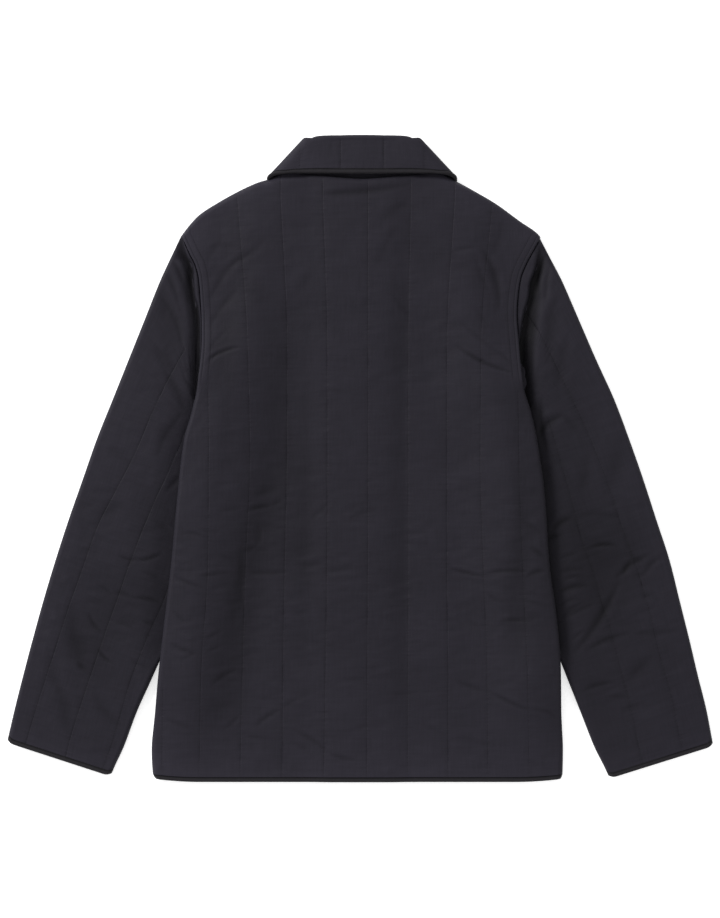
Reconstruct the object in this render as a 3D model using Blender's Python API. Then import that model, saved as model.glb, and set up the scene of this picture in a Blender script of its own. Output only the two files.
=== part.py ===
"""A quilted jacket laid flat with its back up: back, two fronts, two sleeves, a turn-down collar and bound edges.

Every piece of cloth is one closed wall, worked out as two grids of points, an inner one that is plain and an outer
one that carries the quilting. Tables are in millimetres: x runs across from the middle of the jacket, and height runs
up from the hem. Left is the wearer's left, at -x.
"""

from collections import namedtuple

import bmesh
import bpy
import numpy as np

MM = 0.001
SHARP_ANGLE = np.radians(50)
SEAM_GAP = 0.5
LENGTH = 742.9  # from the hem to the top of the collar

# Walls, and the levels at which the layers of the body lie on each other.
FRONT_WALL = 4.5
BACK_WALL = 4.7
AIR = 3.0  # between the fronts and the back
BACK_LEVEL = FRONT_WALL + AIR
SIDE_TURN = BACK_LEVEL - FRONT_WALL - 0.3  # inner radius where the back turns down to the side seam
QUILT_VALLEY = 3.1
QUILT_CREST = 5.0
QUILT_SHOULDER = 4.6
SEAM_SLOPE = 6.0  # from a quilting seam to where the padding is nearly full
ARMHOLE_EDGE = 5.4
EDGE_SPACING = 2.8
TURN_STEPS = 4
BINDING = 5.7
BINDING_GAP = 0.3
BINDING_PROUD = 0.5

# Where the fronts overlap at the middle, the left front steps over the right one.
OVERLAP = 20.0
STEP_HEIGHT = FRONT_WALL + 0.4
STEP_RAMP = 22.0
BACK_RAMP = 42.0

# The body rides up over the sleeves' inner edges, and over the collar's front leaves at the neck.
SLEEVE_LIFT = 11.5
LIFT_WIDTH = 27.0
LIFT_RAMP = 34.0
LIFT_TOP, LIFT_TOP_RAMP = 436.0, 26.0
LIFT_FOOT, LIFT_FOOT_RAMP = 127.0, 46.0
LEAF_LIFT = 3.8
LEAF_HALF_WIDTH, LEAF_SIDE_RAMP = 118.0, 50.0
LEAF_FOOT, LEAF_FOOT_RAMP = 588.0, 40.0

SLEEVE_WALL = 4.0
SLEEVE_AIR = 1.5  # half of the space inside a sleeve
SLEEVE_VALLEY = 2.9
SLEEVE_CREST = 4.7
SLEEVE_FOLD = SLEEVE_WALL + SLEEVE_AIR

COLLAR_WALL = 3.5
NECK_CENTRE = 2.3
NECK_HALF_WIDTH = 80.0
FRONT_NECK_HEIGHT, FRONT_NECK_RISE, FRONT_NECK_POWER = 640.0, 55.0, 2.4
COLLAR_LEVEL = 10.1  # the height that the flattened neck turns about
STAND_RADIUS = 4.7
FALL_RADIUS = 6.6
ROLL_RADIUS = (FALL_RADIUS - STAND_RADIUS) / 2
COLLAR_VALLEY = 2.4
ROLL_STEPS = 5
MIRROR = np.array([-1, 1, 1, -1, 1, 1, 1])

# Level rows of points low down on the body, then shares of the way from there to the shoulders.
LOW_ROWS = (6, 40, 80, 104, 127, 170, 215, 260, 305, 350, 395, 436, 449, 462, 500, 545, 590)
UPPER_SHARES = (0.5, 1.0)
ARMHOLE_ROWS = (449, 462, 500, 545, 590, 605, 619, 627)
# A front's columns by its side edge: distance from the edge, wall.
FRONT_EDGE = (
    (0.0, 2.2),
    (2.5, 4.2),
    (8.0, FRONT_WALL),
    (27.0, FRONT_WALL),
    (44.0, FRONT_WALL),
    (61.0, FRONT_WALL),
)
HEM_ANGLES = np.linspace(0, np.pi, 7)
HEM_COLUMNS = 23
FOLD_ANGLES = np.linspace(0, np.pi, 5)

Edge = namedtuple("Edge", "height left right")
BODY_EDGES = (
    Edge(0, -234.5, 230.5),
    Edge(7, -238.0, 232.6),
    Edge(33, -239.2, 233.0),
    Edge(82, -234.6, 230.6),
    Edge(133, -229.7, 229.6),
    Edge(185, -223.6, 225.4),
    Edge(254, -215.6, 216.4),
    Edge(323, -209.3, 211.9),
    Edge(392, -201.3, 202.6),
    Edge(424, -192.5, 195.6),
    Edge(458, -185.2, 184.8),
    Edge(507, -180.6, 180.6),
    Edge(553, -184.0, 185.2),
    Edge(605, -193.6, 195.8),
    Edge(627, -204.7, 208.2),
)

Shoulder = namedtuple("Shoulder", "left left_height right right_height")
SHOULDERS = (
    Shoulder(-204.7, 626.8, 208.2, 623.3),
    Shoulder(-197.8, 636.0, 203.6, 629.1),
    Shoulder(-185.2, 649.8, 184.0, 642.9),
    Shoulder(-164.5, 663.6, 155.3, 663.6),
    Shoulder(-139.2, 677.4, 131.1, 677.4),
    Shoulder(-124.2, 684.3, 118.5, 683.8),
    Shoulder(-112.0, 684.0, 112.0, 684.2),
    Shoulder(-95.0, 687.4, 97.0, 687.6),
    Shoulder(-77.7, 695.0, 82.3, 695.0),
)
BACK_NECK_HEIGHT = 693.6

# Quilting seams of the back: where each lies at the hem, a third of the way down, and at the top.
Seam = namedtuple("Seam", "hem chest top")
BACK_SEAMS = (
    Seam(-226.6, -222.0, -216.0),
    Seam(-184.0, -172.0, -168.0),
    Seam(-137.3, -128.8, -140.5),
    Seam(-89.7, -83.4, -90.9),
    Seam(-41.4, -38.0, -42.6),
    Seam(8.1, 10.4, 9.2),
    Seam(55.9, 57.5, 60.4),
    Seam(103.5, 101.2, 110.4),
    Seam(146.7, 141.1, 154.1),
    Seam(193.2, 184.0, 178.0),
)
SEAM_HEIGHTS = np.array([7.0, 553.0, 669.0])
UNDERARM_HEIGHT = 455.0

# Sections of a sleeve from the armhole to the cuff: the two ends of each, and the quilting seams as shares of it.
Section = namedtuple("Section", "outer_x outer_height inner_x inner_height seams")
LEFT_SLEEVE = (
    Section(-205.2, 626.8, -189.0, 452.0, (0.58, 0.82, 0.93)),
    Section(-213.9, 608.4, -189.6, 449.0, (0.59, 0.83, 0.93)),
    Section(-228.9, 576.2, -190.4, 444.0, (0.58, 0.84, 0.94)),
    Section(-247.3, 530.2, -190.6, 437.0, (0.56, 0.84, 0.94)),
    Section(-265.7, 484.2, -188.5, 425.0, (0.52, 0.84, 0.94)),
    Section(-284.1, 438.2, -185.0, 404.0, (0.46, 0.82, 0.94)),
    Section(-302.5, 392.2, -185.0, 354.0, (0.38, 0.74, 0.94)),
    Section(-318.6, 346.2, -187.5, 301.0, (0.29, 0.62, 0.92)),
    Section(-334.7, 300.2, -193.0, 252.0, (0.23, 0.56, 0.90)),
    Section(-349.6, 254.2, -204.0, 204.0, (0.21, 0.53, 0.86)),
    Section(-363.4, 208.2, -221.0, 159.0, (0.20, 0.53, 0.84)),
    Section(-376.1, 162.2, -239.0, 118.0, (0.20, 0.53, 0.85)),
    Section(-386.4, 123.1, -256.5, 79.0, (0.19, 0.54, 0.88)),
    Section(-396.8, 81.7, -271.5, 41.0, (0.18, 0.54, 0.90)),
    Section(-404.9, 47.2, -289.0, 8.0, (0.17, 0.55, 0.92)),
)
RIGHT_SLEEVE = (
    Section(208.7, 623.3, 186.8, 463.0, (0.41, 0.73)),
    Section(220.8, 599.2, 188.6, 458.0, (0.44, 0.76)),
    Section(232.3, 576.2, 190.3, 450.0, (0.45, 0.77)),
    Section(251.9, 530.2, 193.0, 441.0, (0.46, 0.78)),
    Section(271.4, 484.2, 191.5, 428.0, (0.45, 0.76)),
    Section(292.1, 438.2, 187.0, 404.0, (0.40, 0.71)),
    Section(309.4, 392.2, 187.5, 354.0, (0.33, 0.65)),
    Section(325.5, 346.2, 190.0, 301.0, (0.29, 0.61)),
    Section(340.4, 300.2, 196.0, 252.0, (0.27, 0.58)),
    Section(355.4, 254.2, 206.0, 204.0, (0.25, 0.56)),
    Section(366.9, 208.2, 222.0, 159.0, (0.24, 0.56)),
    Section(378.4, 162.2, 238.0, 118.0, (0.26, 0.58)),
    Section(387.6, 123.1, 253.5, 79.0, (0.26, 0.60)),
    Section(397.9, 81.7, 270.0, 41.0, (0.27, 0.63)),
    Section(404.8, 44.9, 287.5, 7.0, (0.29, 0.66)),
)
HEAD_CURVE = (1.0, 0.8, 0.55, 0.3, 0.1)  # how much of the armhole's curve each of the first sections keeps

# Lines across the collar from the middle of the back round to the front: the neck seam, the roll and the outer edge.
# x is measured out from the middle of the neck. "turn" is how far the line has gone round from the back to the front.
Line = namedtuple("Line", "turn neck_x neck_h roll_x roll_h edge_x edge_h wall")
COLLAR_LINES = (
    Line(0.0, 0, 694.4, 0, 738.5, 0, 697.5, 3.7),
    Line(0.0, 12, 694.4, 12, 738.3, 12, 697.4, 3.7),
    Line(0.0, 24.7, 694.5, 24.7, 737.6, 24.7, 697.1, COLLAR_VALLEY),
    Line(0.0, 37, 694.7, 36, 736.5, 38, 696.5, 3.7),
    Line(0.0, 60, 695.2, 52, 734.2, 62, 694.0, 3.7),
    Line(0.0, 68, 696.0, 58, 733.0, 74, 692.0, COLLAR_VALLEY),
    Line(0.0, 75, 698.2, 62.3, 731.8, 103.7, 684.5, 3.6),
    Line(0.25, 75, 698.2, 62.3, 731.8, 103.7, 684.5, 3.5),
    Line(0.5, 75, 698.2, 62.3, 731.8, 103.7, 684.5, 3.5),
    Line(0.75, 75, 698.2, 62.3, 731.8, 103.7, 684.5, 3.5),
    Line(1.0, 75, 698.2, 62.3, 731.8, 103.7, 684.5, 3.5),
    Line(1.0, 65, 679.8, 50, 706.0, 97, 652, 3.5),
    Line(1.0, 48, 658.8, 33, 682.0, 80, 618, 3.5),
    Line(1.0, 27, 646.4, 17, 663.0, 56, 596, 3.5),
    Line(1.0, 6, 641.8, 6, 651.0, 36, 600, 3.5),
)

# The largest soft folds in the cloth, from one end to the other, with their depth at the middle of their length.
Fold = namedtuple("Fold", "x height to_x to_height half_width depth")
FOLDS = (
    Fold(-86, 507, -126, 323, 26, 0.9),
    Fold(-126, 323, -178, 104, 26, 0.9),
    Fold(38, 553, 40, 93, 13, 0.5),
    Fold(-184, 476, -130, 500, 14, 0.9),
    Fold(184, 470, 110, 492, 14, 0.9),
    Fold(104, 246, 214, 244, 14, 0.9),
    Fold(108, 116, 196, 82, 14, 0.7),
    Fold(-300, 255, -250, 262, 16, 0.8),
    Fold(270, 225, 310, 270, 16, 0.8),
    Fold(250, 160, 338, 250, 14, 0.8),
)

CLOTH_COLOUR = (0.026, 0.024, 0.032, 1.0)
BINDING_COLOUR = (0.014, 0.013, 0.017, 1.0)


def columns(rows):
    return [np.array(values, dtype=float) for values in zip(*rows)]


def smooth(positions, values, at):
    """A smooth curve through a table's values: cubic between its rows, level with the table past its ends."""
    slopes = np.gradient(values, positions)
    at = np.clip(at, positions[0], positions[-1])
    index = np.clip(np.searchsorted(positions, at) - 1, 0, len(positions) - 2)
    span = positions[index + 1] - positions[index]
    t = (at - positions[index]) / span
    start, end = values[index], values[index + 1]
    rise, fall = slopes[index] * span, slopes[index + 1] * span
    return (
        (2 * t**3 - 3 * t**2 + 1) * start
        + (t**3 - 2 * t**2 + t) * rise
        + (3 * t**2 - 2 * t**3) * end
        + (t**3 - t**2) * fall
    )


def ease(value):
    """0 below 0, 1 above 1 and smooth between."""
    value = np.clip(value, 0.0, 1.0)
    return value * value * (3 - 2 * value)


EDGE_HEIGHT, EDGE_LEFT, EDGE_RIGHT = columns(BODY_EDGES)
SHOULDER_LEFT, SHOULDER_LEFT_H, SHOULDER_RIGHT, SHOULDER_RIGHT_H = columns(SHOULDERS)


def body_edge(side, height):
    """How far the body reaches to one side (-1 is left, +1 is right) at a height."""
    return smooth(EDGE_HEIGHT, EDGE_LEFT if side < 0 else EDGE_RIGHT, height)


def shoulder_height(x):
    if x < NECK_CENTRE:
        return float(np.interp(x, SHOULDER_LEFT, SHOULDER_LEFT_H))
    return float(np.interp(x, SHOULDER_RIGHT[::-1], SHOULDER_RIGHT_H[::-1]))


def back_top(x):
    """The back's upper edge: the shoulders, and the neck between them."""
    out = abs(x - NECK_CENTRE) / NECK_HALF_WIDTH
    if out >= 1:
        return shoulder_height(x)
    return BACK_NECK_HEIGHT + (shoulder_height(x) - BACK_NECK_HEIGHT) * out**4


def front_top(x):
    """The fronts' upper edge, which dips to the middle between the shoulders."""
    out = abs(x - NECK_CENTRE) / NECK_HALF_WIDTH
    if out >= 1:
        return shoulder_height(x)
    return FRONT_NECK_HEIGHT + FRONT_NECK_RISE * out**FRONT_NECK_POWER


def lift(x, height):
    """How far the body's layers are raised by what lies under them."""
    along = ease((LIFT_TOP + LIFT_TOP_RAMP - height) / LIFT_TOP_RAMP)
    along *= ease((height - LIFT_FOOT + LIFT_FOOT_RAMP) / LIFT_FOOT_RAMP)
    inside = min(x - body_edge(-1, height), body_edge(1, height) - x)
    over_sleeve = SLEEVE_LIFT * along * ease((LIFT_WIDTH + LIFT_RAMP - inside) / LIFT_RAMP)
    across = np.clip((LEAF_HALF_WIDTH + LEAF_SIDE_RAMP - abs(x - NECK_CENTRE)) / LEAF_SIDE_RAMP, 0, 1)
    over_leaf = LEAF_LIFT * across * ease((height - LEAF_FOOT + LEAF_FOOT_RAMP) / LEAF_FOOT_RAMP)
    return over_sleeve + over_leaf


def fold_depth(x, height):
    """How deep the soft folds are at a point."""
    total = 0.0
    for fold in FOLDS:
        along = np.array([fold.to_x - fold.x, fold.to_height - fold.height], dtype=float)
        length = np.hypot(*along)
        along /= length
        offset = np.array([x - fold.x, height - fold.height])
        share = offset @ along / length
        away = abs(offset @ np.array([-along[1], along[0]])) / fold.half_width
        total += fold.depth * ease(1 - away) * ease(4 * share) * ease(4 * (1 - share))
    return total


def wall(name, inner, outer, material, tube=False):
    """One closed wall of cloth between two grids of points in millimetres. A tube's last column meets its first."""
    rows, count = inner.shape[:2]
    inner, outer = (grid.reshape(-1, 3) for grid in (inner, outer))
    shape = bmesh.new()
    bmesh.ops.create_grid(shape, x_segments=count - 1, y_segments=rows - 1, size=0.5)
    place = shape.verts.layers.int.new("place")
    for vert in shape.verts:
        column = round((vert.co.x + 0.5) * (count - 1))
        vert[place] = round((vert.co.y + 0.5) * (rows - 1)) * count + column
        vert.co = to_frame(inner[vert[place]])
    if tube:
        bmesh.ops.remove_doubles(shape, verts=shape.verts[:], dist=1e-7)
    raised = bmesh.ops.extrude_face_region(shape, geom=shape.faces[:])
    for item in raised["geom"]:
        if isinstance(item, bmesh.types.BMVert):
            item.co = to_frame(outer[item[place]])
    bmesh.ops.recalc_face_normals(shape, faces=shape.faces[:])
    mesh = bpy.data.meshes.new(name)
    shape.to_mesh(mesh)
    shape.free()
    mesh.shade_smooth()
    mesh.set_sharp_from_angle(angle=SHARP_ANGLE)
    mesh.materials.append(material)
    piece = bpy.data.objects.new(name, mesh)
    jacket.objects.link(piece)
    return piece


def to_frame(point):
    """From the tables' x, height and level to metres, with the origin under the middle of the jacket."""
    return (point[0] * MM, (point[1] - LENGTH / 2) * MM, point[2] * MM)


def sheet(points, ways, thickness):
    """The inner and outer grids of a wall from its inner points, the ways it faces and its thickness."""
    points, ways, thickness = (np.array(grid, dtype=float) for grid in (points, ways, thickness))
    return points, points + ways * thickness[..., None]


def turned_edge(side, height, shaped):
    """The back's edge on one side, inwards to outwards: (x, drop, way across, way up) of each step.

    shaped is 1 below the underarm, where the edge turns down to the side seam, and 0 at the armhole, where it is
    level.
    """
    reach = shaped * np.pi / 2
    centre = body_edge(side, height) - side * (SIDE_TURN + BACK_WALL) * np.sin(reach)
    for step in range(TURN_STEPS):
        angle = reach * step / (TURN_STEPS - 1)
        level = (1 - shaped) * EDGE_SPACING * (TURN_STEPS - 1 - step)
        x = centre + side * (SIDE_TURN * np.sin(angle) - level)
        yield x, SIDE_TURN * (1 - np.cos(angle)), side * np.sin(angle), np.cos(angle)


def back_stations(height):
    """All the back's columns at a height, left to right: (x, drop, way across, way up, wall) of each."""
    shaped = float(ease((UNDERARM_HEIGHT + 12 - height) / 26))
    edge_wall = BACK_WALL + (ARMHOLE_EDGE - BACK_WALL) * (1 - shaped)
    left = [edge + (edge_wall,) for edge in turned_edge(-1, height, shaped)][::-1]
    right = [edge + (edge_wall,) for edge in turned_edge(1, height, shaped)]
    seams = [float(smooth(SEAM_HEIGHTS, np.array(seam), height)) for seam in BACK_SEAMS]
    seams[0] = max(seams[0], left[-1][0] + 4)
    seams[1] = max(seams[1], seams[0] + 12)
    seams[-1] = min(seams[-1], right[0][0] - 10)
    middle = []
    for number, x in enumerate(seams):
        hidden = 1 - shaped if number in (0, 1, len(seams) - 1) else 0.0
        middle.append((x, QUILT_VALLEY + (QUILT_CREST - QUILT_VALLEY) * hidden))
        after = seams[number + 1] if number + 1 < len(seams) else right[0][0]
        slope = min(SEAM_SLOPE, (after - x) / 4)
        middle += [(x + slope, QUILT_SHOULDER), ((x + after) / 2, QUILT_CREST)]
        if number + 1 < len(seams):
            middle.append((after - slope, QUILT_SHOULDER))
    return left + [(x, 0.0, 0.0, 1.0, thick) for x, thick in middle] + right


def row_heights(station_at, top_of, turn):
    """The heights of one column's points: level rows low down, then shares of the way up to its own top."""
    top = 640.0
    for _ in range(8):
        top = top_of(station_at(top))
    upper = [LOW_ROWS[-1] + (top - turn - LOW_ROWS[-1]) * share for share in UPPER_SHARES]
    return list(LOW_ROWS) + upper, top


def back_level(x):
    """The height of the back's inner face, which rises over the fronts' overlap."""
    over = float(ease((OVERLAP + BACK_RAMP - abs(x)) / (BACK_RAMP - 10)))
    return BACK_LEVEL + over * (FRONT_WALL + STEP_HEIGHT + 0.4 - BACK_LEVEL)


def back():
    """The back: vertical channels, side edges turned down to the side seams, shoulder edges turned down too."""
    turn = SIDE_TURN + BACK_WALL
    grid = []
    for column in range(len(back_stations(300.0))):
        heights, top = row_heights(lambda h: back_stations(h)[column][0], back_top, turn)
        points = []
        for height in heights + [None] * (TURN_STEPS - 1):
            step = len(points) - len(heights) + 1 if height is None else 0
            angle = np.pi / 2 * step / (TURN_STEPS - 1)
            x = back_stations(top if height is None else height)[column][0]
            shoulder = float(ease((abs(x - NECK_CENTRE) - NECK_HALF_WIDTH) / 14))
            if height is None:
                rolled = top - turn + SIDE_TURN * np.sin(angle)
                level = top - turn * (1 - step / (TURN_STEPS - 1))
                height = level + (rolled - level) * shoulder
            x, drop, across, up, thick = back_stations(height)[column]
            tilt = angle * shoulder
            drop += SIDE_TURN * (1 - np.cos(tilt))
            place = (x, height, back_level(x) + lift(x, height) - drop)
            way = (across, np.sin(tilt), up * np.cos(tilt))
            points.append(place + way + (thick - fold_depth(x, height) * up,))
        grid.append(points)
    grid = np.array(grid).transpose(1, 0, 2)
    wall("back", *sheet(grid[..., :3], grid[..., 3:6], grid[..., 6]), CLOTH)


def front_level(side, x):
    """The height of a front's inner face: the left front steps up where it lies over the right one."""
    step = float(ease((x + OVERLAP + STEP_RAMP) / (STEP_RAMP - 3))) if side < 0 else 0.0
    return FRONT_WALL + STEP_HEIGHT * step


def front_columns(side, height):
    """The columns of a front at a height, from its side edge to its middle edge: (x, wall) of each."""
    edge = body_edge(side, height)
    found = [(edge - side * inset, thick) for inset, thick in FRONT_EDGE]
    start = found[-1][0]
    if side < 0:
        inner = [-OVERLAP - STEP_RAMP * share for share in (1.7, 1.0, 0.7, 0.4, 0.1)] + [0.0, OVERLAP]
    else:
        inner = [68.0, 50.0, 33.0, 17.0, 0.0, -OVERLAP]
    between = [start + (inner[0] - start) * share for share in (0.33, 0.67)]
    return found + [(x, FRONT_WALL) for x in between + inner]


def front(side, name):
    """A front: a plain panel that lies flat on its outer face, with its side and top edges rounded."""
    grid = []
    for column in range(len(front_columns(side, 300.0))):
        heights, top = row_heights(lambda h: front_columns(side, h)[column][0], front_top, 2.5)
        points = []
        for height in heights + [top]:
            x, thick = front_columns(side, height)[column]
            thick = min(thick, FRONT_EDGE[0][1]) if height == top else thick
            place = (x, height, front_level(side, x) + lift(x, height))
            points.append(place + (0.0, 0.0, -1.0, thick))
        grid.append(points)
    grid = np.array(grid).transpose(1, 0, 2)
    wall(name, *sheet(grid[..., :3], grid[..., 3:6], grid[..., 6]), CLOTH)


def binding_rows():
    """Across a binding, from its outer edge inwards: (distance from the edge, change in its wall)."""
    return (0.0, -1.3), (1.4, 0.0), (BINDING - 0.8, 0.0), (BINDING, -0.5)


def hem_binding():
    """The bound edge of the hem, all round from the left front's middle edge to the right front's."""
    half_air = (BACK_LEVEL - FRONT_WALL) / 2
    grid = []
    for height, change in binding_rows():
        row = []
        for x, _ in front_columns(-1, height)[:2:-1]:
            row.append((x, height, front_level(-1, x), 0, 0, -1, FRONT_WALL + change))
        row += side_fold(-1, height, half_air, change, HEM_ANGLES[::-1])
        for x in np.linspace(body_edge(-1, height) + 14, body_edge(1, height) - 14, HEM_COLUMNS):
            row.append((x, height, back_level(x), 0, 0, 1, BACK_WALL + BINDING_PROUD + change))
        row += side_fold(1, height, half_air, change, HEM_ANGLES)
        for x, _ in front_columns(1, height)[3:]:
            row.append((x, height, front_level(1, x), 0, 0, -1, FRONT_WALL + change))
        grid.append(row)
    grid = np.array(grid, dtype=float)
    wall("hem_binding", *sheet(grid[..., :3], grid[..., 3:6], grid[..., 6]), BINDING_CLOTH)


def side_fold(side, height, half_air, change, angles):
    """The hem's binding where it goes round from the back to a front."""
    centre = body_edge(side, height) - side * (half_air + BACK_WALL)
    middle = FRONT_WALL + half_air
    for angle in angles:
        across, up = np.sin(angle), np.cos(angle)
        thick = BACK_WALL + BINDING_PROUD * max(up, 0) if up >= 0 else FRONT_WALL
        x = centre + side * half_air * across
        yield x, height, middle + half_air * up, side * across, 0, up, thick + change


def sleeve_ring(side, outer, inner, seams, curve, plain=None):
    """One ring of a sleeve, from the bottom of its outer fold over the top and back underneath.

    plain gives a wall of one thickness, for the binding of the cuff.
    """
    outer, inner = np.array(outer), np.array(inner)
    width = np.hypot(*(inner - outer))
    across = (inner - outer) / width
    flat = width - 2 * SLEEVE_FOLD

    def place(reach, level):
        x, height = outer + across * reach
        return x + curve * armhole_bow(side, np.clip(reach / width, 0, 1)), height, level

    stations = [(0.0, angle, SLEEVE_WALL) for angle in -FOLD_ANGLES[::-1]]
    last = 0.0
    for seam in seams:
        slope = min(SEAM_SLOPE / flat, (seam - last) / 3, (1 - seam) / 3)
        stations += [
            ((last + seam) / 2, 0.0, SLEEVE_CREST),
            (seam - slope, 0.0, SLEEVE_CREST - 0.4),
            (seam, 0.0, SLEEVE_VALLEY),
            (seam + slope, 0.0, SLEEVE_CREST - 0.4),
        ]
        last = seam
    stations += [((last + 1) / 2, 0.0, SLEEVE_CREST)]
    stations += [(1.0, angle, SLEEVE_WALL) for angle in FOLD_ANGLES]
    stations += [(share, np.pi, SLEEVE_WALL) for share in (0.75, 0.5, 0.25)]
    ring = []
    for share, angle, thick in stations:
        reach, up = SLEEVE_FOLD + flat * share, np.cos(angle)
        start = place(reach + SLEEVE_AIR * np.sin(angle), SLEEVE_FOLD + SLEEVE_AIR * up)
        if plain is not None:
            thick = SLEEVE_WALL + plain + BINDING_PROUD * max(up, 0)
        elif up > 0.5:
            covered = float(ease((9 - side * (start[0] - body_edge(side, start[1]))) / 6))
            thick = min(thick, thick + (SLEEVE_WALL - thick) * covered) - fold_depth(*start[:2]) * up
        radius = SLEEVE_AIR + thick
        end = place(reach + radius * np.sin(angle), SLEEVE_FOLD + radius * up)
        ring.append((start, end))
    return ring + ring[:1]


def armhole_bow(side, share):
    """How far the armhole's curve bows off a straight line, at a share of the way from shoulder to underarm."""
    first = (LEFT_SLEEVE if side < 0 else RIGHT_SLEEVE)[0]
    height = first.outer_height + (first.inner_height - first.outer_height) * share
    straight = first.outer_x + (first.inner_x - first.outer_x) * share
    armhole = np.interp(height, ARMHOLE_ROWS, body_edge(side, np.array(ARMHOLE_ROWS)))
    return (armhole + side * SEAM_GAP - straight) * ease((1 - share) / 0.1)


def cuff_ends(sections, distance):
    """The two ends of the cuff, moved up the sleeve by a distance."""
    last, before = sections[-1], sections[-2]
    for name in ("outer", "inner"):
        end = np.array([getattr(last, name + "_x"), getattr(last, name + "_height")])
        up = np.array([getattr(before, name + "_x"), getattr(before, name + "_height")]) - end
        yield end + up / np.hypot(*up) * distance


def sleeve(side, sections, name):
    """A sleeve and the binding of its cuff."""
    rings = []
    for number, section in enumerate(sections[:-1]):
        curve = HEAD_CURVE[number] if number < len(HEAD_CURVE) else 0.0
        outer = (section.outer_x, section.outer_height)
        inner = (section.inner_x, section.inner_height)
        rings.append(sleeve_ring(side, outer, inner, section.seams, curve))
    rings.append(sleeve_ring(side, *cuff_ends(sections, BINDING + BINDING_GAP), sections[-1].seams, 0.0))
    rings = np.array(rings)
    wall("sleeve_" + name, rings[:, :, 0], rings[:, :, 1], CLOTH, tube=True)
    edge = [
        sleeve_ring(side, *cuff_ends(sections, distance), sections[-1].seams, 0.0, plain=change)
        for distance, change in binding_rows()
    ]
    edge = np.array(edge)
    wall("cuff_binding_" + name, edge[:, :, 0], edge[:, :, 1], BINDING_CLOTH, tube=True)


def outwards(start, end):
    """The way across a line, away from the middle of the neck."""
    along = (end - start) / np.hypot(*(end - start))
    return along, np.array([abs(along[1]), abs(along[0])])


def collar_line(line, binding=False):
    """The points along one line of the collar, from the neck seam over the roll to the outer edge."""
    neck = np.array([line.neck_x, line.neck_h], dtype=float)
    roll = np.array([line.roll_x, line.roll_h], dtype=float)
    edge = np.array([line.edge_x, line.edge_h], dtype=float)
    stand_along, stand_out = outwards(neck, roll)
    fall_along, fall_out = outwards(roll, edge)
    length = np.hypot(*(edge - roll))
    round_neck = line.turn * np.pi

    def point(plan, out, radius, along, lean, thick):
        """lean is 0 on the stand, which faces in, and pi on the fall, which faces out."""
        away = np.array([out[0] * np.sin(round_neck), out[1] * np.sin(round_neck), np.cos(round_neck)])
        place = np.array([plan[0], plan[1], COLLAR_LEVEL]) + away * radius
        way = np.array([along[0], along[1], 0.0]) * np.sin(lean) - away * np.cos(lean)
        return np.concatenate([place, way, [thick]])

    points = []
    if binding:
        for distance, change in binding_rows():
            proud = BINDING_PROUD * max(np.cos(round_neck), 0)
            plan = edge - fall_along * distance
            points.append(point(plan, fall_out, FALL_RADIUS, fall_along, np.pi, COLLAR_WALL + proud + change))
        return points
    for share in (0.0, 0.5):
        plan = neck + (roll - neck) * share
        points.append(point(plan, stand_out, STAND_RADIUS, stand_along, 0.0, COLLAR_WALL))
    for lean in np.linspace(0, np.pi, ROLL_STEPS):
        share = lean / np.pi
        along = stand_along * (1 - share) - fall_along * share
        along /= np.hypot(*along)
        out = stand_out * (1 - share) + fall_out * share
        plan = roll + along * ROLL_RADIUS * np.sin(lean)
        radius = STAND_RADIUS + ROLL_RADIUS * (1 - np.cos(lean))
        points.append(point(plan, out / np.hypot(*out), radius, along, lean, COLLAR_WALL))
    for share in (0.12, 0.5, 1.0):
        plan = roll + fall_along * (length - BINDING - BINDING_GAP) * share
        points.append(point(plan, fall_out, FALL_RADIUS, fall_along, np.pi, line.wall))
    return points


def collar(name, material, binding=False):
    """The collar or its bound edge: the lines of one half, and their mirror image for the other."""
    half = [collar_line(line, binding) for line in COLLAR_LINES]
    other = [[point * MIRROR for point in line] for line in half[:0:-1]]
    grid = np.array(other + half)
    grid[..., 0] += NECK_CENTRE
    wall(name, *sheet(grid[..., :3], grid[..., 3:6], grid[..., 6]), material)


def cloth(name, colour, roughness):
    material = bpy.data.materials.new(name)
    material.use_nodes = True
    shader = material.node_tree.nodes["Principled BSDF"]
    shader.inputs["Base Color"].default_value = colour
    shader.inputs["Roughness"].default_value = roughness
    shader.inputs["Metallic"].default_value = 0.0
    return material


for item in list(bpy.data.objects):
    bpy.data.objects.remove(item)
jacket = bpy.data.collections.new("quilted_jacket")
bpy.context.scene.collection.children.link(jacket)
CLOTH = cloth("quilted_cloth", CLOTH_COLOUR, 0.75)
BINDING_CLOTH = cloth("binding", BINDING_COLOUR, 0.7)

back()
front(-1, "front_left")
front(1, "front_right")
hem_binding()
sleeve(-1, LEFT_SLEEVE, "left")
sleeve(1, RIGHT_SLEEVE, "right")
collar("collar", CLOTH)
collar("collar_binding", BINDING_CLOTH, binding=True)
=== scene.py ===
"""The cloth, bindings and stitching of a quilted jacket that lies on its front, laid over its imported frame.

Tables are in millimetres: x runs across from the middle of the jacket, height runs up from the hem and level
is how far a point is above the surface that the jacket lies on. Left is the wearer's left, at -x.
"""

from collections import namedtuple

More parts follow.
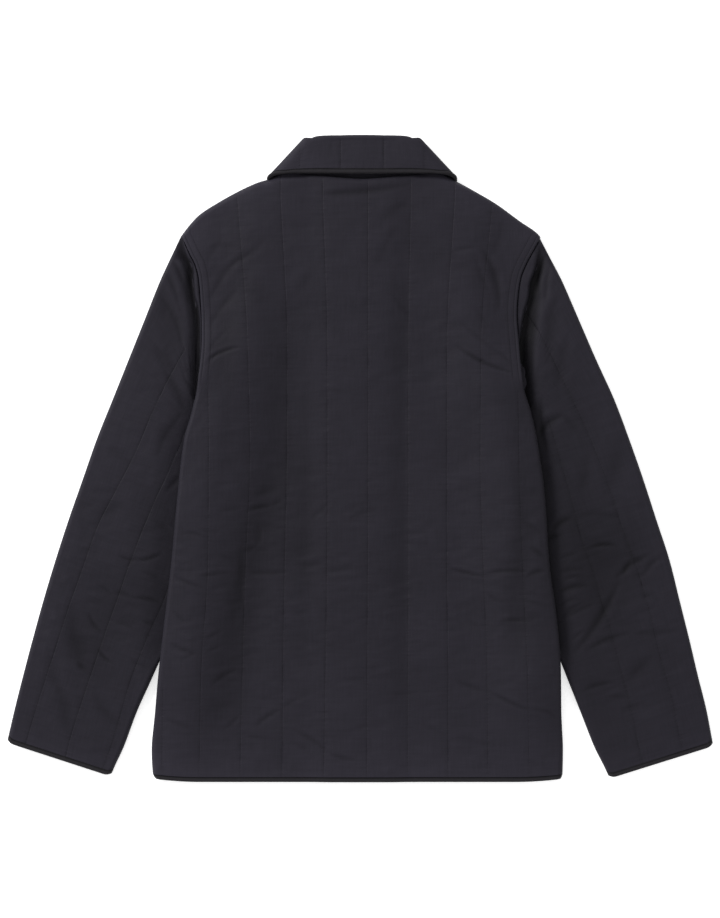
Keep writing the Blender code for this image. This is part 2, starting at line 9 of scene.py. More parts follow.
import bpy
import numpy as np
from bpy.props import FloatProperty, FloatVectorProperty, IntProperty, PointerProperty
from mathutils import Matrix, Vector


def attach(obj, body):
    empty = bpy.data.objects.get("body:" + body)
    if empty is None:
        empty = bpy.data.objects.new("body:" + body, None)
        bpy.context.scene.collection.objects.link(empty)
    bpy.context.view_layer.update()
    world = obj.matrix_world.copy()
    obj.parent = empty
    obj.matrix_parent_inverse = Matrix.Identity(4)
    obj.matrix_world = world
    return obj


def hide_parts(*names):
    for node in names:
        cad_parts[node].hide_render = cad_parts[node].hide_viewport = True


bl_info = {
    "name": "Quilted jacket",
    "version": (1, 0, 0),
    "blender": (4, 5, 0),
    "location": "3D View > Sidebar > Jacket",
    "description": "Cloth, bindings, quilting and stitches of a jacket laid flat, with its studio",
    "category": "Object",
}

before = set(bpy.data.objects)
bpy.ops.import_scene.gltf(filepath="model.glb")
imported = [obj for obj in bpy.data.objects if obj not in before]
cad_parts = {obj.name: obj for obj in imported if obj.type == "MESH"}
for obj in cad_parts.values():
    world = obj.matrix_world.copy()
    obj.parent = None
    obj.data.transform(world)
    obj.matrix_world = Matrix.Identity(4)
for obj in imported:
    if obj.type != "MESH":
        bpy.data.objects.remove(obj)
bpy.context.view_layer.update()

MM = 0.001
HALF_LENGTH = 371.45  # the hem lies this far below the frame's origin

# ---------------------------------------------------------------- sizes that the pieces share

FRONT_WALL = 4.5
BACK_WALL = 4.7
BACK_LEVEL = 7.5
SIDE_TURN = 2.7  # inner radius where the back turns down to the side seam
CORNER_RISE, CORNER_REACH, CORNER_HEIGHT = 3.4, 54.0, 60.0
ARMHOLE_WALL = 5.4
HEM_GAP = 6.0  # from the hem to where the panels start inside the binding
OVERLAP = 20.0
STEP_HEIGHT = FRONT_WALL + 0.4
STEP_RAMP = 22.0
BACK_RAMP = 42.0

SLEEVE_LIFT = 11.5
LIFT_WIDTH, LIFT_RAMP = 27.0, 34.0
LIFT_TOP, LIFT_TOP_RAMP = 436.0, 26.0
LIFT_FOOT, LIFT_FOOT_RAMP = 127.0, 46.0
LEAF_LIFT = 3.8
LEAF_HALF_WIDTH, LEAF_SIDE_RAMP = 118.0, 50.0
LEAF_FOOT, LEAF_FOOT_RAMP = 588.0, 40.0
BACK_LIFT_TOP_RAMP, BACK_LIFT_FOOT_RAMP, BACK_LIFT_RAMP = 105.0, 112.0, 84.0
BACK_LIFT_SPREAD = 1.7  # how much longer the upper slope gets per millimetre inwards
BACK_LEAF_FOOT, BACK_LEAF_RAMP = 430.0, 210.0

SLEEVE_WALL = 4.0
SLEEVE_AIR = 1.5
SLEEVE_FOLD = SLEEVE_WALL + SLEEVE_AIR
SLEEVE_CREST = 4.7
UNDERARM = 449.0
UNDERARM_TUCK = 9.0  # how far a sleeve reaches in under the body there

COLLAR_WALL = 3.4
NECK_CENTRE = 2.3
NECK_HALF_WIDTH = 80.0
BACK_NECK_HEIGHT = 690.8
BACK_NECK_POWER = 1.35
NECK_ROLL, NECK_ROLL_SHARE = 7.0, 0.62
FRONT_NECK_HEIGHT, FRONT_NECK_RISE, FRONT_NECK_POWER = 640.0, 58.0, 2.4
COLLAR_LEVEL = 10.1
STAND_RADIUS = 4.7
FALL_RADIUS = 6.6
ROLL_RADIUS = (FALL_RADIUS - STAND_RADIUS) / 2

# How a quilting seam pulls in the padding: how deep it cuts and how fast the cut closes again, how far the
# padding sinks towards the second and the first seam of a channel, and how uneven the pull is along a seam.
PAD_CREST = 5.0
PAD_VALLEY, SLEEVE_VALLEY, COLLAR_VALLEY = 0.14, 0.2, 0.3
PAD_REACH = 1.0
PAD_DIP, PAD_DIP_REACH = 0.62, 9.0
FIRST_DIP, FIRST_DIP_REACH = 0.15, 3.0
PULL, PULL_SWELL, PULL_PITCH, PULL_RANGE = 0.8, 0.28, 60.0, (0.25, 1.4)
GATHER, GATHER_PITCH, GATHER_REACH, GATHER_START = 0.09, 8.5, 4.0, 0.9
CHANNEL_SLACK, CHANNEL_SLACK_PITCH = 0.15, 26.0
UNSEWN = 60.0  # a seam counts as this much further away where it isn't sewn

# The slack of all the cloth, as the strength, pitch and number of its large, middling and small waves. Its
# wrinkles: their strength, pitch and range of directions, the pitch of the patches that they come in, and the
# height where most of them are.
SWELL = ((0.42, 120, 10), (0.13, 38, 10), (0.035, 15, 14))
WRINKLES = ((0.16, 17, (1.0, 2.1)), (0.09, 9.5, (0.9, 2.2)))
WRINKLE_WAVES, WRINKLE_PATCH = 14, 55.0
WRINKLED_HEIGHT, WRINKLED_REACH = 215.0, 100.0

# Painted light and shade on the cloth: lighter for each millimetre that it stands up, within a range, and
# painted shade in its seams, in its creases and in the folds of a sleeve's head. CREASE_SHARE is how much of
# a crease is modelled.
HOLLOW_TONE, HOLLOW_RANGE = 0.075, (-5.0, 1.2)
SEAM_TONE, SEAM_TONE_REACH = 0.07, 1.3
CREASE_SHARE, CREASE_TONE = 0.75, 0.15
FOLD_SHADE = 0.72


def named_rows(kind, *rows):
    """A table whose rows have named values."""
    return tuple(kind(*row) for row in rows)


Edge = namedtuple("Edge", "height left right")
BODY_EDGES = named_rows(
    Edge,
    (0, -234.5, 230.5),
    (7, -238.0, 232.6),
    (33, -239.2, 233.0),
    (82, -234.6, 230.6),
    (133, -229.7, 229.6),
    (185, -223.6, 225.4),
    (254, -215.6, 216.4),
    (323, -209.3, 211.9),
    (392, -201.3, 202.6),
    (424, -192.5, 195.6),
    (458, -185.2, 185.8),
    (507, -181.0, 181.4),
    (536, -181.6, 179.6),
    (553, -182.6, 180.4),
    (577, -184.6, 183.8),
    (592, -188.4, 189.4),
    (605, -194.8, 196.2),
    (627, -204.7, 208.2),
)

Shoulder = namedtuple("Shoulder", "left left_height right right_height")
SHOULDERS = named_rows(
    Shoulder,
    (-204.7, 626.8, 208.2, 623.3),
    (-197.8, 636.0, 203.6, 629.1),
    (-185.2, 649.8, 184.0, 642.9),
    (-164.5, 663.6, 155.3, 663.6),
    (-139.2, 677.4, 131.1, 677.4),
    (-124.2, 684.3, 118.5, 684.2),
    (-116.0, 687.6, 115.0, 686.0),
    (-107.2, 690.3, 111.8, 687.9),
    (-101.7, 692.0, 106.3, 691.0),
    (-95.7, 695.0, 100.3, 694.4),
    (-87.7, 697.6, 92.3, 697.3),
    (-77.7, 698.0, 82.3, 698.0),
)

# Quilting seams of the back: x at the hem, hip, waist, ribs, chest and shoulders, and the height where each
# one ends.
Seam = namedtuple("Seam", "hem hip waist ribs chest top ends")
BACK_SEAMS = named_rows(
    Seam,
    (-226.6, -225.0, -224.0, -223.0, -222.0, -216.0, 112.0),
    (-184.0, -181.0, -173.4, -172.4, -174.2, -178.0, 452.0),
    (-137.0, -134.6, -131.0, -125.6, -128.4, -140.5, 700.0),
    (-89.0, -88.2, -86.4, -84.0, -83.4, -90.9, 700.0),
    (-41.2, -39.6, -37.8, -37.4, -37.6, -42.6, 700.0),
    (8.0, 8.2, 9.0, 9.4, 9.4, 9.2, 700.0),
    (54.4, 55.0, 55.2, 55.2, 55.2, 58.4, 700.0),
    (101.0, 100.8, 99.6, 99.4, 99.4, 108.4, 700.0),
    (146.6, 145.4, 141.0, 137.4, 138.4, 152.1, 700.0),
    (194.0, 191.0, 185.6, 181.4, 180.0, 178.0, 455.0),
)
SEAM_HEIGHTS = np.array([20.0, 130.0, 250.0, 370.0, 500.0, 669.0])

# How much each channel of the back, between two seams, sinks towards the seam on its right.
BACK_SINKS = (0.6, 1.0, 1.0, 1.3, 1.3, 1.1, 0.9, 1.3, 0.9, 0.7, 1.0)

# Sections of a sleeve from the armhole to the cuff: the two ends of each, and where the quilting seams cross
# it, as shares of its width.
Section = namedtuple("Section", "outer_x outer_height inner_x inner_height seams")
LEFT_SLEEVE = named_rows(
    Section,
    (-205.2, 626.8, -189.0, 452.0, (0.63, 0.82, 0.93)),
    (-213.9, 608.4, -189.6, 449.0, (0.61, 0.83, 0.93)),
    (-228.9, 576.2, -190.4, 444.0, (0.593, 0.88, 0.95)),
    (-247.3, 530.2, -190.6, 437.0, (0.572, 0.90, 0.96)),
    (-265.7, 484.2, -188.5, 425.0, (0.525, 0.91, 0.96)),
    (-284.1, 438.2, -185.0, 404.0, (0.457, 0.90, 0.96)),
    (-302.5, 392.2, -185.0, 354.0, (0.372, 0.761, 0.95)),
    (-318.6, 346.2, -187.5, 301.0, (0.274, 0.633, 0.93)),
    (-334.7, 300.2, -193.0, 252.0, (0.207, 0.565, 0.91)),
    (-349.6, 254.2, -204.0, 204.0, (0.192, 0.535, 0.89)),
    (-363.4, 208.2, -221.0, 159.0, (0.180, 0.531, 0.87)),
    (-376.1, 162.2, -239.0, 118.0, (0.174, 0.535, 0.875)),
    (-386.4, 123.1, -256.5, 79.0, (0.166, 0.543, 0.91)),
    (-396.8, 81.7, -270.6, 41.0, (0.151, 0.540, 0.93)),
    (-405.3, 45.3, -285.6, 6.3, (0.144, 0.560, 0.945)),
)
RIGHT_SLEEVE = named_rows(
    Section,
    (208.7, 623.3, 186.8, 463.0, (0.407, 0.76)),
    (220.8, 599.2, 188.6, 458.0, (0.433, 0.77)),
    (232.3, 576.2, 190.3, 450.0, (0.448, 0.78)),
    (251.9, 530.2, 193.0, 441.0, (0.462, 0.78)),
    (271.4, 484.2, 191.5, 428.0, (0.445, 0.78)),
    (292.1, 438.2, 187.0, 404.0, (0.389, 0.742)),
    (309.4, 392.2, 187.5, 354.0, (0.312, 0.667)),
    (325.5, 346.2, 190.0, 301.0, (0.268, 0.614)),
    (340.4, 300.2, 196.0, 252.0, (0.247, 0.589)),
    (355.4, 254.2, 206.0, 204.0, (0.229, 0.566)),
    (366.9, 208.2, 222.0, 159.0, (0.225, 0.567)),
    (378.4, 162.2, 238.0, 118.0, (0.240, 0.587)),
    (387.6, 123.1, 253.5, 79.0, (0.236, 0.607)),
    (397.9, 81.7, 268.4, 41.0, (0.254, 0.639)),
    (405.6, 41.3, 285.6, 3.7, (0.265, 0.681)),
)

# How much of the armhole's curve each of the first sections keeps.
HEAD_CURVE = (1.0, 0.8, 0.55, 0.3, 0.1, 0.0)

# How much of each seam of a sleeve is sewn, as the first and last section that it runs between.
LEFT_SEWN = ((1.9, 14.0), (4.8, 14.0), (8.4, 14.0))
RIGHT_SEWN = ((0.5, 14.0), (4.6, 14.0))

# Lines across the collar from the middle of the back round to the front: neck seam, roll and outer edge.
# x is measured out from the middle of the neck, and turn is how far a line has gone round to the front.
Line = namedtuple("Line", "turn neck_x neck_height roll_x roll_height edge_x edge_height")
COLLAR_LINES = named_rows(
    Line,
    (0.0, 0, 692.0, 0, 736.6, 0, 696.2),
    (0.0, 12, 692.1, 12, 736.6, 12, 696.2),
    (0.0, 24.7, 692.6, 24.7, 736.4, 24.7, 696.3),
    (0.0, 37, 693.2, 36, 736.2, 38, 696.4),
    (0.0, 60, 695.2, 50, 735.6, 60, 696.6),
    (0.0, 68, 696.4, 55, 735.1, 76, 696.6),
    (0.0, 75, 698.2, 58.5, 734.2, 88, 696.0),
    (0.25, 75, 698.2, 60.0, 731.4, 96.4, 690.8),
    (0.5, 75, 698.2, 60.6, 729.8, 102.4, 684.8),
    (0.75, 75, 698.2, 61.0, 728.8, 103.4, 681.6),
    (1.0, 75, 698.2, 61.2, 728.2, 103.4, 678.0),
    (1.0, 65, 679.8, 50, 706.0, 97, 652),
    (1.0, 48, 658.8, 33, 682.0, 80, 618),
    (1.0, 27, 646.4, 17, 663.0, 56, 596),
    (1.0, 6, 641.8, 6, 651.0, 36, 600),
)
COLLAR_SEAMS = ((24.7, 24.7), (71.0, 71.5))  # x at the roll and at the edge, from the middle of the neck

# Where the collar's lower edge lies on the back, out from the middle of the neck and in height.
COLLAR_REACH = (0.0, 60.0, 76.0, 90.0, 98.0, 106.0, 112.0)
COLLAR_FOOT = (696.2, 696.6, 696.4, 695.4, 694.0, 691.6, 689.2)
FOLD_SQUARENESS = 0.62  # under 1, the collar stays flat until close to the fold at its ends
STAND_DIP = 8.5  # how far the stand sinks at the neck's seam

# Creases: a trough with a low ridge on each side, along a line that bows off straight by "bow".
Crease = namedtuple("Crease", "x height to_x to_height bow half_width depth")
BODY_CREASES = named_rows(
    Crease,
    (-60, 470, -66, 120, 0, 10, 0.4),
    (126, 520, 122, 330, 0, 12, 0.4),
    (-150, 470, -160, 330, 3, 8, 0.4),
    # drag lines from the underarms
    (-178, 481, -134, 499, 3, 2.0, 1.7),
    (-180, 476, -162, 492, -1, 2.2, 0.8),
    (-176, 488, -150, 520, 2, 2.6, 0.5),
    (179, 468, 108, 502, 5, 2.3, 2.2),
    (178, 474, 150, 496, -2, 2.0, 0.8),
    (160, 490, 112, 530, 1, 2.6, 0.7),
    (150, 520, 128, 548, 1, 2.6, 0.5),
    # shoulder blades
    (140, 612, 160, 542, 5, 4.6, 1.7),
    (132, 606, 150, 560, -3, 3.2, 0.7),
    (134, 612, 104, 606, -2, 2.8, 0.9),
    (162, 640, 150, 600, 2, 5.0, 0.6),
    (-120, 612, -152, 590, 2, 3.6, 0.8),
    (-110, 622, -128, 600, 1, 3.4, 0.5),
    (-170, 556, -135, 604, 3, 4.0, 0.9),
    (-172, 520, -138, 566, 3, 4.0, 0.7),
    (-176, 590, -158, 622, 2, 4.0, 0.5),
    (62, 530, 36, 562, 2, 4.0, 0.7),
    (20, 590, 44, 640, 2, 4.5, 0.6),
    (0, 540, 22, 560, 1, 4.0, 0.3),
    (-70, 560, -40, 600, 2, 6.0, 0.5),
    # under the collar
    (-52, 674, 58, 684, -3, 4.0, 1.6),
    (22, 640, 60, 670, 0, 7.0, 0.8),
    (-8, 655, 14, 662, 0, 5.0, 0.3),
    # waist, wearer's right
    (101, 246, 142, 236, -1, 2.2, 1.9),
    (144, 240, 192, 242, 2, 2.4, 1.6),
    (190, 236, 214, 243, 2, 3.0, 1.5),
    (145, 218, 165, 208, -3, 2.2, 1.0),
    (158, 186, 190, 185, 1, 2.0, 1.1),
    (120, 186, 138, 176, 1, 2.4, 0.6),
    (194, 270, 214, 254, 1, 3.6, 1.4),
    (184, 300, 208, 284, 1, 3.2, 0.7),
    (120, 262, 150, 268, 1, 3.4, 0.4),
    (190, 208, 214, 200, 1, 2.6, 0.7),
    # waist, wearer's left
    (-130, 311, -100, 317, 1, 3.2, 1.7),
    (-102, 316, -88, 324, 0, 2.6, 0.8),
    (-122, 326, -92, 336, 2, 5.0, 0.8),
    (-166, 308, -132, 315, 1, 3.0, 0.8),
    (-118, 298, -119, 268, 3, 3.0, 1.0),
    (-120, 270, -134, 264, 1, 3.0, 1.0),
    (-135, 272, -136, 196, 0, 4.5, 1.2),
    (-140, 236, -146, 176, 0, 7.0, 0.8),
    (-56, 302, -36, 318, 0, 3.4, 0.7),
    (-14, 302, 22, 313, 1, 3.0, 0.7),
    (-206, 285, -172, 279, 3, 2.2, 0.9),
    (-186, 290, -170, 286, 1, 2.2, 0.6),
    (-213, 237, -174, 223, -2, 2.2, 1.3),
    (-186, 236, -146, 240, 1, 2.4, 1.2),
    (-164, 262, -142, 252, 1, 2.8, 0.6),
    (-128, 240, -82, 241, -1, 2.8, 1.0),
    (-80, 246, -40, 250, 1, 3.2, 0.4),
    (-40, 242, 20, 246, 1, 3.2, 0.4),
    (-212, 198, -194, 182, -2, 2.4, 0.9),
    (-218, 162, -182, 146, -2, 2.4, 1.1),
    (-206, 140, -186, 152, -1, 2.6, 0.6),
    (-176, 163, -156, 175, 1, 2.6, 0.9),
    (-176, 149, -158, 156, 1, 2.2, 0.9),
    (-171, 111, -140, 130, 2, 3.2, 1.2),
    # lower edge
    (108, 118, 152, 103, -2, 3.0, 1.1),
    (150, 103, 195, 83, -1, 2.6, 1.8),
    (194, 84, 228, 72, 4, 2.8, 1.1),
    (-120, 63, -90, 84, 2, 3.0, 1.3),
    (-90, 84, -58, 100, 2, 3.2, 0.7),
    (-158, 60, -138, 78, -2, 2.6, 0.9),
    (-76, 60, -36, 34, 2, 2.6, 1.2),
    (-80, 46, -52, 28, 2, 2.4, 0.7),
    (-36, 34, -4, 26, -2, 2.4, 1.3),
    (-132, 52, -106, 49, 1, 2.8, 0.9),
    (-10, 60, 16, 66, 1, 3.0, 0.6),
    (-20, 118, 12, 116, 1, 3.4, 0.7),
    (14, 102, 60, 100, 1, 3.4, 0.6),
    (-222, 76, -188, 62, -3, 3.6, 0.9),
    (60, 70, 100, 52, 2, 3.6, 0.6),
    (100, 48, 150, 44, 2, 4.0, 0.5),
    (-50, 150, -20, 160, 1, 4.0, 0.4),
    (66, 150, 96, 160, 1, 4.0, 0.4),
)

# Valleys: long hollows that run down the jacket, each with its x and depth at a few heights and its width to
# each side.
Valley = namedtuple("Valley", "heights places depths left_width right_width")
BODY_VALLEYS = (
    Valley(
        (15, 95, 198, 266, 369, 483, 540, 620),
        (-171, -152, -134, -119, -93, -86, -108, -94),
        (0.2, 2.2, 2.9, 2.7, 3.1, 1.7, 1.0, 0.0),
        24,
        28,
    ),
    Valley((40, 200, 420, 560, 620), (51, 51, 50, 52, 48), (0.3, 1.2, 1.1, 1.0, 0.0), 20, 5),
    Valley(
        (120, 186, 250, 310, 380, 450),
        (180, 180, 184, 188, 180, 172),
        (0.0, 1.9, 2.3, 2.0, 0.8, 0.0),
        13,
        15,
    ),
    Valley((420, 480, 540, 600, 640), (-156, -156, -150, -126, -120), (0.0, 1.5, 1.3, 0.6, 0.0), 15, 16),
    Valley((190, 260, 330, 410), (-70, -66, -66, -70), (0.0, 1.0, 0.8, 0.0), 26, 26),
)
LEFT_FOLDS = (
    Valley(
        (440, 484, 518, 545, 556, 575, 592, 601, 617),
        (-186, -184.8, -184.6, -187.2, -190.6, -192.2, -193.0, -199.4, -203.6),
        (5.0, 6.0, 6.2, 7.0, 6.4, 7.6, 7.2, 6.2, 3.4),
        8.5,
        1.9,
    ),
)
RIGHT_FOLDS = (
    Valley(
        (430, 463, 495, 520, 539, 556, 571, 588, 608),
        (190.0, 185.6, 183.6, 187.0, 190.2, 195.0, 196.6, 202.2, 205.6),
        (6.4, 8.2, 8.8, 8.6, 8.0, 7.6, 7.8, 6.8, 3.4),
        2.2,
        12,
    ),
)

# Hollows: broad shallow dents, such as the slack of an elbow.
Hollow = namedtuple("Hollow", "x height half_width half_height depth")
LEFT_HOLLOWS = named_rows(
    Hollow,
    (-238, 300, 26, 66, 1.0),
    (-308, 285, 26, 50, 0.8),
    (-272, 212, 42, 48, 0.9),
    (-316, 160, 26, 42, 1.1),
    (-290, 130, 60, 60, 0.6),
    (-238, 218, 20, 30, 0.7),
    (-216, 515, 24, 74, 1.0),
)
RIGHT_HOLLOWS = named_rows(
    Hollow,
    (264, 230, 46, 84, 2.2),
    (236, 336, 34, 70, 1.1),
    (268, 104, 40, 44, 0.8),
    (316, 262, 28, 34, 0.8),
    (230, 430, 40, 60, 0.6),
)

# Patches of painted shade on the back, and below 0 patches of painted light,
# where it looks a little darker or lighter than its form makes it.
BODY_PAINTED_SHADING = named_rows(
    Hollow,
    (-154, 508, 18, 40, 0.17),
    (-120, 557, 18, 22, 0.09),
    (-62, 264, 34, 36, 0.11),
    (172, 248, 26, 28, 0.12),
    (188, 185, 20, 24, 0.1),
    (223, 4, 18, 20, 0.14),
    (-116, 256, 22, 90, 0.05),
    (-140, 608, 34, 26, 0.06),
    (-203, 245, 16, 80, 0.04),
    (138, 660, 24, 16, -0.13),
    (51, 592, 18, 22, -0.12),
    (120, 555, 18, 20, -0.12),
    (-186, 626, 16, 18, -0.14),
    (188, 626, 16, 16, -0.1),
    (86, 24, 50, 50, -0.08),
    (-222, 18, 18, 30, -0.1),
)
LEFT_SLEEVE_CREASES = named_rows(
    Crease,
    (-258, 255, -226, 263, -3, 2.2, 2.0),
    (-276, 260, -256, 255, -2, 2.4, 1.5),
    (-258, 256, -268, 246, 0, 2.4, 0.8),
    (-264, 211, -226, 203, 3, 2.4, 1.7),
    (-284, 216, -262, 211, 3, 3.0, 0.9),
    (-311, 196, -292, 169, -4, 2.5, 1.4),
    (-300, 152, -283, 136, -2, 2.2, 1.8),
    (-284, 180, -258, 174, 4, 2.8, 0.9),
    (-324, 139, -312, 128, -2, 2.8, 1.2),
    (-300, 226, -282, 212, 1, 2.6, 0.8),
    (-248, 240, -228, 232, 1, 2.6, 0.7),
    (-252, 186, -230, 176, 1, 2.4, 0.8),
    (-330, 206, -312, 122, -6, 10.0, 1.1),
    (-264, 140, -224, 128, -2, 2.8, 0.9),
    (-304, 100, -272, 64, -4, 7.0, 1.0),
    (-344, 112, -336, 54, 2, 8.0, 1.1),
    (-356, 150, -340, 96, -3, 7.0, 0.7),
    (-224, 330, -198, 354, 2, 4.0, 1.0),
    (-214, 302, -194, 300, 1, 4.0, 0.9),
    (-240, 300, -216, 284, 2, 4.0, 0.6),
    (-300, 300, -268, 320, 2, 7.0, 0.8),
    (-290, 384, -262, 360, 3, 8.0, 0.7),
    (-232, 372, -202, 424, 4, 5.5, 1.1),
    (-224, 470, -200, 426, 2, 5.0, 1.3),
    (-236, 500, -214, 470, 2, 6.0, 0.7),
    (-228, 556, -204, 498, 5, 5.0, 1.1),
    (-218, 600, -203, 570, 3, 3.4, 1.7),
    (-224, 586, -208, 550, 2, 3.0, 1.1),
    (-236, 580, -222, 520, 3, 7.0, 0.7),
)
RIGHT_SLEEVE_CREASES = named_rows(
    Crease,
    (334, 262, 292, 232, -3, 4.0, 1.4),
    (298, 232, 244, 147, 4, 4.8, 1.7),
    (312, 258, 300, 236, 0, 2.8, 1.0),
    (300, 262, 330, 248, 2, 3.0, 0.6),
    (349, 262, 322, 234, -2, 3.4, 1.0),
    (258, 266, 298, 270, 4, 2.3, 1.9),
    (232, 232, 258, 235, 2, 2.4, 1.0),
    (230, 203, 256, 210, 2, 2.4, 1.2),
    (236, 188, 268, 204, 1, 2.6, 1.0),
    (228, 256, 250, 262, 1, 2.6, 0.8),
    (242, 162, 258, 176, 0, 2.2, 1.0),
    (218, 288, 246, 304, 2, 4.0, 1.6),
    (246, 305, 300, 303, 3, 3.4, 0.7),
    (206, 276, 232, 282, 2, 3.4, 1.1),
    (226, 216, 264, 225, 3, 3.4, 1.3),
    (224, 240, 258, 244, 1, 3.0, 0.9),
    (232, 188, 258, 207, 2, 3.4, 0.9),
    (260, 151, 312, 171, 3, 3.4, 1.5),
    (310, 171, 370, 175, -2, 3.4, 1.0),
    (320, 214, 350, 206, 1, 4.0, 0.6),
    (254, 103, 294, 114, 3, 3.2, 1.4),
    (284, 98, 308, 97, 1, 2.8, 0.9),
    (306, 112, 336, 145, 2, 7.0, 1.1),
    (300, 80, 326, 90, 1, 3.6, 0.8),
    (204, 396, 234, 421, 4, 4.8, 1.7),
    (208, 440, 214, 378, -3, 4.4, 1.4),
    (232, 420, 250, 400, 2, 5.0, 0.7),
    (214, 606, 203, 558, -4, 3.2, 2.6),
    (220, 598, 213, 552, -2, 3.0, 1.3),
    (206, 562, 197, 466, -3, 4.8, 2.0),
    (226, 560, 216, 478, -4, 9.0, 1.0),
    (240, 520, 226, 440, -3, 8.0, 0.7),
    (300, 402, 280, 328, 4, 12.0, 1.0),
    (262, 380, 250, 330, 3, 8.0, 0.8),
)

# The bound edge across its width: how far its outer face is from the edge, how far that is raised above the
# cloth's wall, and how far its inner face is from the edge.
Tape = namedtuple("Tape", "outside raised inside")
TAPE = named_rows(
    Tape,
    (6.1, -1.5, 6.0),
    (5.75, -0.35, 5.7),
    (5.3, 0.1, 5.2),
    (4.7, 0.0, 4.6),
    (4.2, 0.3, 4.2),
    (3.1, 0.55, 3.4),
    (2.0, 0.5, 2.6),
    (1.1, 0.15, 2.0),
    (0.45, -0.55, 1.6),
    (0.1, -1.5, 1.3),
    (0.0, -2.5, 1.2),
    (0.3, -3.4, 1.1),
)
TAPE_STITCH = 4.95  # the stitches' distance from the edge
# Painted shade along the tape's line of stitches, in its groove: how much darker, and how far.
TAPE_LINE_TONE, TAPE_LINE_REACH = 0.7, 0.7  # how much darker the tape looks along them, and how far

# Columns of points beside a seam, and how far those between two seams spread out from the middle.
SEAM_OFFSETS = (0.0, 0.55, 1.3, 2.4, 4.2, 7.0)
MIDDLE_SPREAD = 0.62


# ---------------------------------------------------------------- curves and fields


def through(positions, values, at):
    """A smooth curve through a table's values that never swings past them."""
    positions, values = np.asarray(positions, float), np.asarray(values, float)
    secants = np.diff(values) / np.diff(positions)
    slopes = np.zeros(len(values))
    before, after = secants[:-1], secants[1:]
    same = before * after > 0
    slopes[1:-1][same] = 2 * before[same] * after[same] / (before[same] + after[same])
    slopes[0], slopes[-1] = secants[0], secants[-1]
    at = np.clip(at, positions[0], positions[-1])
    index = np.clip(np.searchsorted(positions, at) - 1, 0, len(positions) - 2)
    span = positions[index + 1] - positions[index]
    t = (at - positions[index]) / span
    return (
        (2 * t**3 - 3 * t**2 + 1) * values[index]
        + (t**3 - 2 * t**2 + t) * slopes[index] * span
        + (3 * t**2 - 2 * t**3) * values[index + 1]
        + (t**3 - t**2) * slopes[index + 1] * span
    )


def ease(value):
    """0 below 0, 1 above 1 and smooth between."""
    value = np.clip(value, 0.0, 1.0)
    return value * value * (3 - 2 * value)


def table(rows, field):
    """One column of a table."""
    return np.array([getattr(row, field) for row in rows], float)


def body_edge(side, height):
    """How far the body reaches to one side (-1 is left, +1 is right) at a height."""
    return through(table(BODY_EDGES, "height"), table(BODY_EDGES, "left" if side < 0 else "right"), height)


def edge_slant(side, height):
    """The cosine of the body's edge, which turns a distance across into one square to the edge."""
    slope = (body_edge(side, height + 1.5) - body_edge(side, height - 1.5)) / 3
    return 1 / np.hypot(1, slope)


def shoulder_height(x):
    """Height of the shoulder seam, or of the line that joins the two over the neck."""
    left = through(table(SHOULDERS, "left"), table(SHOULDERS, "left_height"), x)
    right = through(table(SHOULDERS, "right")[::-1], table(SHOULDERS, "right_height")[::-1], x)
    return np.where(x < NECK_CENTRE, left, right)


def back_top(x):
    """Height of the back's upper edge: the shoulders and the curve of the neck."""
    out = np.abs(x - NECK_CENTRE) / NECK_HALF_WIDTH
    rise = (shoulder_height(x) - BACK_NECK_HEIGHT) * np.minimum(out, 1) ** BACK_NECK_POWER
    return np.where(out >= 1, shoulder_height(x), BACK_NECK_HEIGHT + rise)


def front_top(x):
    """Height of the fronts' upper edge, with the deeper curve of the neck."""
    out = np.abs(x - NECK_CENTRE) / NECK_HALF_WIDTH
    neck = FRONT_NECK_HEIGHT + FRONT_NECK_RISE * np.minimum(out, 1) ** FRONT_NECK_POWER
    return np.where(out >= 1, shoulder_height(x), neck)


def lift(x, height):
    """How far the body is raised by the sleeves and the collar's leaves under it."""
    along = ease((LIFT_TOP + LIFT_TOP_RAMP - height) / LIFT_TOP_RAMP)
    along = along * ease((height - LIFT_FOOT + LIFT_FOOT_RAMP) / LIFT_FOOT_RAMP)
    inside = np.minimum(x - body_edge(-1, height), body_edge(1, height) - x)
    over_sleeve = SLEEVE_LIFT * along * ease((LIFT_WIDTH + LIFT_RAMP - inside) / LIFT_RAMP)
    across = ease((LEAF_HALF_WIDTH + LEAF_SIDE_RAMP - np.abs(x - NECK_CENTRE)) / LEAF_SIDE_RAMP)
    over_leaf = LEAF_LIFT * across * ease((height - LEAF_FOOT + LEAF_FOOT_RAMP) / LEAF_FOOT_RAMP)
    return over_sleeve + over_leaf


def back_lift(x, height):
    """How far the back is raised: as much as the fronts under it, but in longer and softer slopes."""
    inside = np.minimum(x - body_edge(-1, height), body_edge(1, height) - x)
    ramp = BACK_LIFT_TOP_RAMP + BACK_LIFT_SPREAD * np.clip(inside - 4, 0, 90)
    along = ease((LIFT_TOP + ramp - height) / ramp)
    along = along * ease((height - LIFT_FOOT + BACK_LIFT_FOOT_RAMP) / BACK_LIFT_FOOT_RAMP)
    over_sleeve = SLEEVE_LIFT * along * ease((LIFT_WIDTH + BACK_LIFT_RAMP - inside) / BACK_LIFT_RAMP)
    across = ease((LEAF_HALF_WIDTH + LEAF_SIDE_RAMP - np.abs(x - NECK_CENTRE)) / LEAF_SIDE_RAMP)
    over_leaf = LEAF_LIFT * across * ease((height - BACK_LEAF_FOOT) / BACK_LEAF_RAMP)
    return over_sleeve + over_leaf


